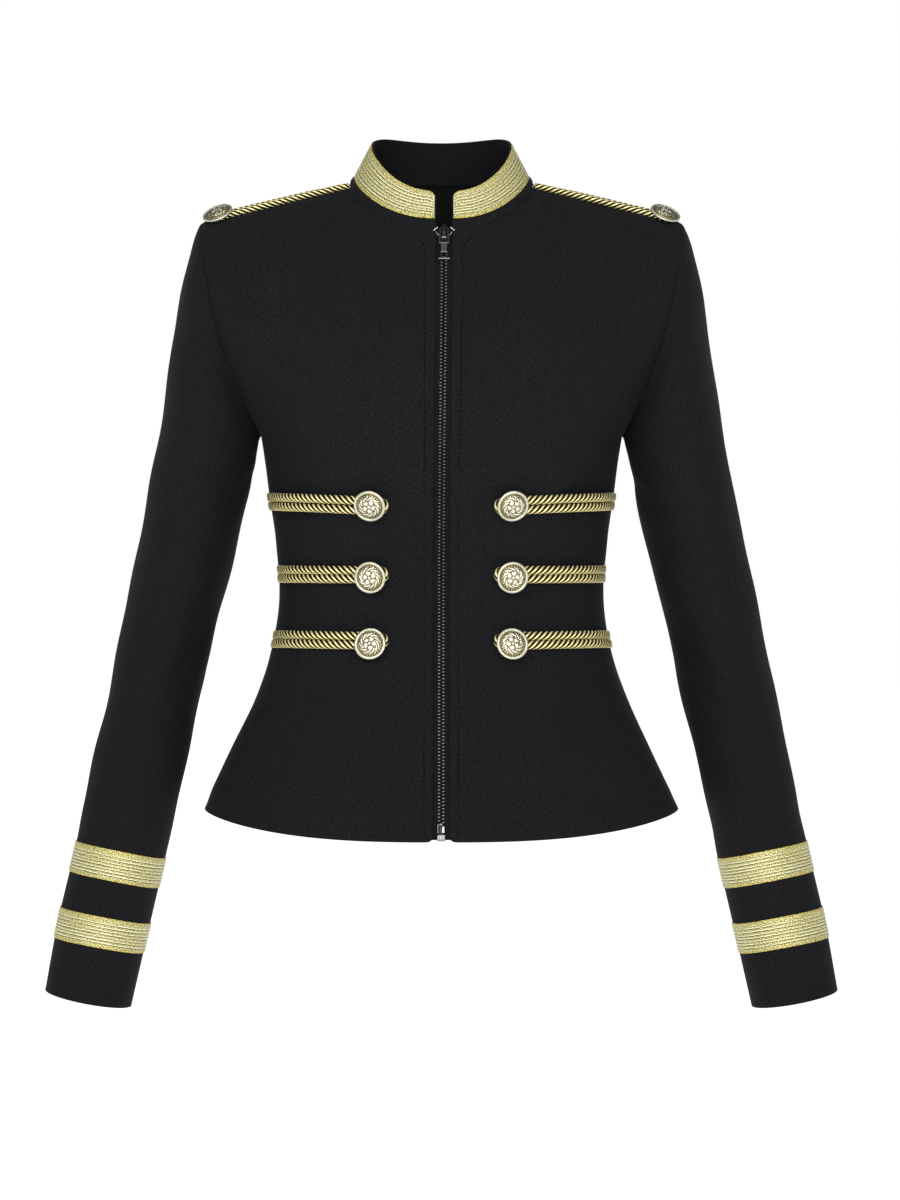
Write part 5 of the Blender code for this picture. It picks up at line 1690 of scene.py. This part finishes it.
def make_zip_end(material):
    """The retainer box at the hem, and the two pins above it."""
    hem = HEM_SIDE_HEIGHT - HEM_FRONT_DIP
    front = BOX_FORWARD - chain_depth()
    retainer = box_outline(-BOX_HALF, BOX_HALF, BOX_LOW, BOX_HIGH, 0.0006)
    # The box, its ribs and the pins each carry a painted highlight of their own strength.
    parts = [(*prism(retainer, front - BOX_THICK, front, 0.0004), BOX_SHINE)]
    low, high = BOX_LOW + BOX_RIB_SHORT, BOX_HIGH - BOX_RIB_SHORT
    rib_low, rib_high = (front + level for level in BOX_RIB_LEVELS)
    for column in range(BOX_RIBS):
        middle = (column - (BOX_RIBS - 1) / 2) * BOX_RIB_PITCH
        rib = box_outline(middle - BOX_RIB_HALF, middle + BOX_RIB_HALF, low, high, 0.0002)
        parts.append((*prism(rib, rib_low, rib_high, 0.0001), BOX_RIB_SHINE))
    pin_low, pin_high = (front + level for level in PIN_LEVELS)
    for left, right, low, high, painted_highlight in ZIP_PINS:
        pin = box_outline(left, right, low, high, 0.0003)
        parts.append((*prism(pin, pin_low, pin_high), painted_highlight))
    piece = hard_piece("zip_box_detail", parts, material, *axes_at(hem))
    return declare(piece, "zip_box")


def stitch_line():
    """Points and normals down the front beside the zip, from the collar to the hem."""
    grid = panel_point(-1, *np.meshgrid(STITCH_SEARCH, STITCH_RISES))
    beyond = stitch_out(grid[..., 2]) - grid[..., 0]
    places = np.array([np.interp(0, -row, STITCH_SEARCH) for row in beyond])
    return panel_point(-1, places, STITCH_RISES), panel_normal(-1, places, STITCH_RISES)


def make_stitches(hand, material):
    """A line of topstitching, each stitch a short thread that dips in at both ends."""
    points, normals = stitch_line()
    run, (points, normals) = along_path(points, (normals,), STITCH_PATH_STEP)
    normals = unit(normals)
    share = np.linspace(0, 1, STITCH_RINGS)
    arch = np.sin(np.pi * share)
    radius = STITCH_HALF * mix(STITCH_END_SHARE, 1.0, np.sqrt(arch))
    angle = np.arange(STITCH_SIDES) * math.tau / STITCH_SIDES
    faces = ring_faces(STITCH_RINGS, STITCH_SIDES) + end_faces(STITCH_RINGS, STITCH_SIDES)
    parts = []
    for start in np.arange(STITCH_START, run[-1] - STITCH_LONG, STITCH_PITCH):
        at = start + share * STITCH_LONG
        middle = np.stack([np.interp(at, run, c) for c in points.T], 1)
        normal = np.stack([np.interp(at, run, c) for c in normals.T], 1)
        middle = middle + normal * (STITCH_ARCH * arch - STITCH_SUNK - STITCH_GROOVE)[:, None]
        ahead = unit(np.gradient(middle, axis=0))
        across = unit(np.cross(normal, ahead))
        ring = across[:, None] * np.cos(angle)[:, None] + normal[:, None] * np.sin(angle)[:, None]
        grid = middle[:, None] + ring * radius[:, None, None]
        parts.append((grid.reshape(-1, 3) * np.array([hand, 1, 1]), faces, 0))
    points, faces, _ = joined(parts)
    piece = new_piece(f"front_stitches_{side_name(hand)}", points, faces, material)
    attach(piece, "garment")
    return piece


# ---- materials ----------------------------------------------------------------------------------


def add(tree, kind, feeds=(), **settings):
    """A node with its settings, fed with numbers or with other nodes' outputs."""
    made = tree.nodes.new(kind)
    for key, value in settings.items():
        setattr(made, key, value)
    for socket, value in dict(feeds).items():
        if isinstance(value, bpy.types.NodeSocket):
            tree.links.new(value, made.inputs[socket])
        else:
            made.inputs[socket].default_value = value
    return made


def ramp(tree, factor, stops):
    """A colour ramp with stops of position and colour."""
    made = add(tree, "ShaderNodeValToRGB", {"Fac": factor})
    elements = made.color_ramp.elements
    while len(elements) < len(stops):
        elements.new(0.5)
    for element, (position, colour) in zip(elements, stops):
        element.position = position
        element.color = (*colour, 1) if len(colour) == 3 else colour
    return made.outputs["Color"]


def start_material(name, **constants):
    """A material and its tree and shader, with constants set on the shader's own sockets."""
    made = bpy.data.materials.new(name)
    made.use_nodes = True
    shader = made.node_tree.nodes["Principled BSDF"]
    for key, value in constants.items():
        socket = shader.inputs[key.replace("_", " ")]
        socket.default_value = value
    return made, made.node_tree, shader


def arithmetic(tree, operation, first, second, third=None):
    feeds = {0: first, 1: second}
    if third is not None:
        feeds[2] = third
    return add(tree, "ShaderNodeMath", feeds, operation=operation).outputs[0]


def noise(tree, vector, scale, detail=3.0, rough=0.55):
    feeds = {"Vector": vector, "Scale": scale, "Detail": detail, "Roughness": rough}
    return add(tree, "ShaderNodeTexNoise", feeds).outputs["Fac"]


def wave(tree, vector, scale, direction, distortion=0.0, detail=2.0):
    feeds = {"Vector": vector, "Scale": scale, "Distortion": distortion, "Detail": detail}
    return add(tree, "ShaderNodeTexWave", feeds, bands_direction=direction).outputs["Fac"]


def drawn_out(tree, vector, along):
    """Places that make a pattern longer the first way, by 1 / along."""
    made = add(tree, "ShaderNodeMapping", {"Vector": vector, "Scale": (along, 1.0, 1.0)})
    return made.outputs["Vector"]


def marked(tree, name):
    """A mark that the mesh carries."""
    return add(tree, "ShaderNodeAttribute", attribute_name=name).outputs["Fac"]


def blended(tree, factor, first, second, kind="MIX"):
    made = add(tree, "ShaderNodeMix", data_type="RGBA", blend_type=kind)
    for socket, value in zip((made.inputs[0], made.inputs[6], made.inputs[7]), (factor, first, second)):
        if isinstance(value, bpy.types.NodeSocket):
            tree.links.new(value, socket)
        else:
            socket.default_value = value if np.isscalar(value) else (*value, 1)
    return made.outputs[2]


def bumps(tree, shader, *layers):
    """Bump from several heights, each with its depth in metres and strength."""
    normal = None
    for height, distance, strength in layers:
        feeds = {"Height": height, "Distance": distance, "Strength": strength}
        if normal is not None:
            feeds["Normal"] = normal
        normal = add(tree, "ShaderNodeBump", feeds).outputs["Normal"]
    tree.links.new(normal, shader.inputs["Normal"])


def cloth_places(tree):
    return add(tree, "ShaderNodeUVMap", uv_map="cloth").outputs["UV"]


def object_places(tree):
    return add(tree, "ShaderNodeTexCoord").outputs["Object"]


def crepe_material():
    """Near-black wool-like crepe with fine, broken crosswise ribs and a soft nap."""
    made, tree, shader = start_material(
        "crepe",
        Roughness=0.85,
        Specular_IOR_Level=0.06,
        Sheen_Weight=0.02,
        Sheen_Roughness=0.45,
        Sheen_Tint=(0.80, 0.85, 0.95, 1),
    )
    where, places = cloth_places(tree), object_places(tree)
    ridges = noise(tree, drawn_out(tree, where, 0.45), 900.0, 1.0, 0.5)
    grain = noise(tree, places, 1400.0, 2.0, 0.6)
    clouds = noise(tree, places, 22.0, 3.0)
    tone = arithmetic(tree, "MULTIPLY_ADD", ridges, 0.50, arithmetic(tree, "MULTIPLY", grain, 0.45))
    tone = arithmetic(tree, "MULTIPLY_ADD", clouds, 0.05, tone)
    colours = ((0.40, CREPE_DARK), (0.60, CREPE_LIGHT))
    tree.links.new(ramp(tree, tone, colours), shader.inputs["Base Color"])
    bumps(tree, shader, (ridges, 0.00030, 0.55), (grain, 0.00012, 0.4))
    return made


def tape_material():
    """Black herringbone tape."""
    made, tree, shader = start_material("zip tape", Roughness=0.85, Specular_IOR_Level=0.05)
    where = cloth_places(tree)
    split = add(tree, "ShaderNodeSeparateXYZ", {"Vector": where})
    fold = arithmetic(tree, "PINGPONG", split.outputs["X"], TWILL_WIDE)
    line = arithmetic(tree, "ADD", split.outputs["Y"], fold)
    twill = arithmetic(tree, "SINE", arithmetic(tree, "MULTIPLY", line, TWILL_LINES), 0.0)
    colours = ((0.2, (0.003, 0.003, 0.0035)), (0.8, (0.012, 0.012, 0.013)))
    shade = arithmetic(tree, "MULTIPLY_ADD", twill, 0.5, 0.5)
    tree.links.new(ramp(tree, shade, colours), shader.inputs["Base Color"])
    bumps(tree, shader, (shade, 0.00015, 0.5))
    return made


def braid_material():
    """Pale gold metallic braid: bright specks, yellower edges, painted shade and highlight on woven
    lines.
    """
    made, tree, shader = start_material(
        "gold braid", Metallic=0.30, Roughness=0.50, Specular_IOR_Level=0.5
    )
    where = cloth_places(tree)
    up = add(tree, "ShaderNodeSeparateXYZ", {"Vector": where}).outputs["Y"]
    across = arithmetic(tree, "DIVIDE", up, BRAID_WIDE)
    wander = noise(tree, where, 160.0, 3.0)
    across = arithmetic(tree, "MULTIPLY_ADD", wander, 0.016, arithmetic(tree, "SUBTRACT", across, 0.008))
    even, dark, bright = (0.5,) * 3, (0.0,) * 3, (0.92,) * 3
    # Each woven line gets painted shade in its sunk groove and a painted highlight just above it.
    stops = [(0.0, even)]
    for share, _, half_width in BRAID_LINES[1:-1]:
        half = half_width / BRAID_WIDE
        stops += [(share - 2 * half, even), (share, dark)]
        stops += [(share + 1.8 * half, bright), (share + 3.6 * half, even)]
    groove_shade_and_highlight = ramp(tree, across, stops)
    patchy = noise(tree, drawn_out(tree, where, 0.25), 90.0, 2.0)
    strength = arithmetic(tree, "MULTIPLY_ADD", patchy, 1.6, -0.30)
    shift = arithmetic(tree, "MULTIPLY", arithmetic(tree, "SUBTRACT", groove_shade_and_highlight, 0.5), strength)
    specks = noise(tree, drawn_out(tree, where, 0.7), 1150.0, 2.0, 0.6)
    tone = arithmetic(tree, "ADD", specks, shift)
    threads = (
        (0.36, (0.07, 0.052, 0.008)),
        (0.47, (0.38, 0.33, 0.09)),
        (0.57, (0.62, 0.59, 0.26)),
        (0.70, (0.98, 0.97, 0.74)),
    )
    plain, yellow = (1.0, 1.0, 1.0), (1.0, 0.90, 0.54)
    edges = ramp(tree, across, ((0.03, yellow), (0.07, plain), (0.93, plain), (0.97, yellow)))
    colour = blended(tree, 1.0, ramp(tree, tone, threads), edges, "MULTIPLY")
    tree.links.new(colour, shader.inputs["Base Color"])
    ribs = wave(tree, where, 420.0, "X", 1.2)
    bumps(tree, shader, (ribs, 0.00012, 0.4), (specks, 0.00018, 0.6))
    return made


def cord_material():
    """Metallic gold cord: painted highlights on crests, painted shade in valleys, fine yarns along
    strands.
    """
    made, tree, shader = start_material(
        "gold cord", Metallic=0.55, Roughness=0.42, Specular_IOR_Level=0.1
    )
    where = cloth_places(tree)
    crest = marked(tree, "crest")
    wear_and_highlight = marked(tree, "wear_and_highlight")
    yarns = wave(tree, where, 620.0, "DIAGONAL", 1.0, 1.0)
    mottle = noise(tree, where, 1000.0, 3.0, 0.7)
    tone = arithmetic(tree, "MULTIPLY_ADD", yarns, 0.16, arithmetic(tree, "MULTIPLY", crest, 0.84))
    # From painted shade in the valleys between strands, through the cord's gold, to a painted highlight
    # on each crest.
    stops = (
        (0.54, (0.003, 0.0015, 0.0005)),
        (0.66, (0.150, 0.080, 0.005)),
        (0.77, (0.58, 0.40, 0.050)),
        (0.86, (1.00, 0.98, 0.60)),
    )
    painted_strand_light = ramp(tree, tone, stops)
    old = ramp(tree, mottle, ((0.47, (0.010, 0.008, 0.003)), (0.62, (0.36, 0.29, 0.09))))
    tree.links.new(blended(tree, wear_and_highlight, painted_strand_light, old), shader.inputs["Base Color"])
    bumps(tree, shader, (yarns, 0.00012, 0.5), (mottle, 0.00008, 0.4))
    return made


def button_material():
    """Pale champagne metal: raised parts a painted highlight, recesses brown, the groove painted shade.
    """
    made, tree, shader = start_material("pale gold metal", Metallic=1.0, Roughness=0.27)
    places = object_places(tree)
    # Raised relief is coloured pale as a painted highlight, and the groove dark as painted shade.
    relief = marked(tree, "relief")
    mottle = noise(tree, places, 900.0, 4.0, 0.6)
    tone = arithmetic(tree, "MULTIPLY_ADD", mottle, 0.24, arithmetic(tree, "SUBTRACT", relief, 0.12))
    stops = (
        (0.10, (0.06, 0.045, 0.012)),
        (0.38, (0.32, 0.27, 0.12)),
        (0.62, (0.56, 0.53, 0.39)),
        (0.95, (0.82, 0.82, 0.74)),
    )
    rim = marked(tree, "rim")
    worn_rim = ramp(tree, mottle, ((0.40, (0.50, 0.48, 0.35)), (0.60, (0.66, 0.65, 0.53))))
    colour = blended(tree, rim, ramp(tree, tone, stops), worn_rim)
    tree.links.new(colour, shader.inputs["Base Color"])
    face_rough = ramp(tree, tone, ((0.0, (0.55, 0.55, 0.55)), (0.6, (0.26, 0.26, 0.26))))
    rough = blended(tree, rim, face_rough, (0.46, 0.46, 0.46))
    tree.links.new(rough, shader.inputs["Roughness"])
    bumps(tree, shader, (mottle, 0.00008, 0.35))
    return made


def metal_material(name, dark, light, roughness):
    """A metal between two greys: light where a part has a painted highlight, dark elsewhere."""
    made, tree, shader = start_material(name, Metallic=0.9, Roughness=roughness)
    places = object_places(tree)
    painted_highlight = marked(tree, "painted_highlight")
    stain = noise(tree, places, 900.0, 4.0, 0.6)
    tone = arithmetic(tree, "MULTIPLY_ADD", stain, 0.3, arithmetic(tree, "SUBTRACT", painted_highlight, 0.15))
    tree.links.new(ramp(tree, tone, ((0.0, dark), (1.0, light))), shader.inputs["Base Color"])
    low, high = roughness * 0.8, min(roughness * 1.5, 1.0)
    rough = ramp(tree, stain, ((0.3, (high,) * 3), (0.7, (low,) * 3)))
    tree.links.new(rough, shader.inputs["Roughness"])
    bumps(tree, shader, (noise(tree, places, 3000.0), 0.00004, 0.4))
    return made


def thread_material():
    made, tree, shader = start_material("black thread", Roughness=0.8, Specular_IOR_Level=0.05)
    twist = wave(tree, object_places(tree), 900.0, "DIAGONAL")
    colours = ((0.2, (0.001, 0.001, 0.001)), (0.8, (0.004, 0.004, 0.005)))
    tree.links.new(ramp(tree, twist, colours), shader.inputs["Base Color"])
    bumps(tree, shader, (twist, 0.0001, 0.5))
    return made


def floor_material():
    made, tree, shader = start_material("pale floor", Roughness=0.9, Specular_IOR_Level=0.1)
    tint = noise(tree, object_places(tree), 3.0)
    colours = ((0.0, (0.93, 0.93, 0.93)), (1.0, (0.96, 0.96, 0.96)))
    tree.links.new(ramp(tree, tint, colours), shader.inputs["Base Color"])
    away = add(tree, "ShaderNodeVectorMath", {0: object_places(tree)}, operation="LENGTH")
    far = arithmetic(tree, "MULTIPLY", away.outputs["Value"], 1 / FLOOR_GLOW_FROM)
    glow = ramp(tree, far, ((0.35, (0.50, 0.50, 0.50)), (0.8, (0.93, 0.93, 0.93))))
    tree.links.new(glow, shader.inputs["Emission Color"])
    shader.inputs["Emission Strength"].default_value = 1.0
    return made


# ---- stage --------------------------------------------------------------------------------------


def make_floor():
    around = ((-1, -1), (1, -1), (1, 1), (-1, 1))
    corners = np.array([(x * FLOOR_HALF, y * FLOOR_HALF, FLOOR_HEIGHT) for x, y in around])
    new_piece("floor", corners, [(0, 1, 2, 3)], floor_material(), smooth=False)


def make_world():
    """White all round the horizon, and greyer overhead and below, so that metal has contrast."""
    world = bpy.data.worlds.new("studio")
    bpy.context.scene.world = world
    world.use_nodes = True
    tree = world.node_tree
    tree.nodes.clear()
    places = add(tree, "ShaderNodeTexCoord").outputs["Generated"]
    up = add(tree, "ShaderNodeSeparateXYZ", {"Vector": places}).outputs["Z"]
    away = arithmetic(tree, "ABSOLUTE", up, 0.0)
    shade = ramp(tree, away, ((0.17, (1.0, 1.0, 1.0)), (0.27, (0.12, 0.12, 0.13))))
    background = add(tree, "ShaderNodeBackground", {"Color": shade, "Strength": 1.0})
    output = add(tree, "ShaderNodeOutputWorld")
    tree.links.new(background.outputs[0], output.inputs[0])


def make_light(name, place, aim, size, watts):
    data = bpy.data.lights.new(name, "AREA")
    data.shape = "RECTANGLE"
    data.size, data.size_y = size
    data.energy = watts
    light = bpy.data.objects.new(name, data)
    light.location = place
    light.rotation_euler = (Vector(aim) - Vector(place)).to_track_quat("-Z", "Y").to_euler()
    bpy.context.scene.collection.objects.link(light)


def make_camera():
    data = bpy.data.cameras.new("camera")
    data.sensor_fit = "AUTO"
    data.sensor_width = 36
    data.lens = CAMERA_LENS
    camera = bpy.data.objects.new("camera", data)
    camera.location = CAMERA_PLACE
    camera.rotation_euler = (math.pi / 2, 0, 0)
    bpy.context.scene.collection.objects.link(camera)
    bpy.context.scene.camera = camera


def make_stage():
    make_camera()
    make_floor()
    make_world()
    for name, place, size, watts in LIGHTS:
        make_light(name, place, LIGHT_AIM, size, watts)
    bpy.context.scene.view_settings.view_transform = "Standard"


# ---- the whole jacket ---------------------------------------------------------------------------


def make_cloth():
    crepe = crepe_material()
    braid = braid_material()
    thread = thread_material()
    for hand in (1, -1):
        make_panel("front", -1, hand, FRONT_CREASES[hand], crepe)
        make_panel("back", 1, hand, BACK_CREASES[hand], crepe)
        make_sleeve(hand, crepe)
        make_stitches(hand, thread)
        for name, distance in CUFF_BRAIDS:
            make_cuff_braid(name, distance, hand, braid)
    make_collar(crepe)
    make_collar_braid(braid)


def make_trims():
    cord = cord_material()
    metal = button_material()
    for hand in (1, -1):
        for count, row in enumerate(CORD_ROWS):
            number, _, _, height = row
            node = f"cord_loop_{number}_{side_name(hand)}"
            loop = make_cord(node + "_twist", front_loop_path(row), hand, cord, CORD_RADIUS, 1.0)
            declare(loop, node)
            level = np.array(height)
            place = front_frame(front_turn(np.array(BUTTON_OUT), level), level)
            node = f"button_{number}_{side_name(hand)}"
            button = make_button(node + "_relief", *place, hand, metal, turned=BUTTON_TURN * count)
            declare(button, node)
        node = f"shoulder_cord_{side_name(hand)}"
        path = shoulder_loop_path()
        loop = make_cord(node + "_twist", path, hand, cord, SHOULDER_CORD_RADIUS, 0.0)
        declare(loop, node)
        place = shoulder_frame(np.array([SHOULDER_BUTTON_OUT]), np.array([SHOULDER_BUTTON_AHEAD]))
        node = f"shoulder_button_{side_name(hand)}"
        facing = unit(np.array(SHOULDER_BUTTON_FACE))
        seat = place[0][0] - facing * SHOULDER_BUTTON_SINK
        button = make_button(node + "_relief", seat, facing, hand, metal, SHOULDER_BUTTON_TURN)
        declare(button, node)


def make_zip():
    tape = tape_material()
    teeth, gunmetal, steel = (metal_material(*row) for row in METALS)
    for hand in (1, -1):
        make_tape(hand, tape)
    make_teeth(teeth)
    make_slider(gunmetal)
    make_pull(gunmetal)
    make_top_stops(steel)
    make_zip_end(steel)


make_stage()
make_cloth()
make_trims()
make_zip()
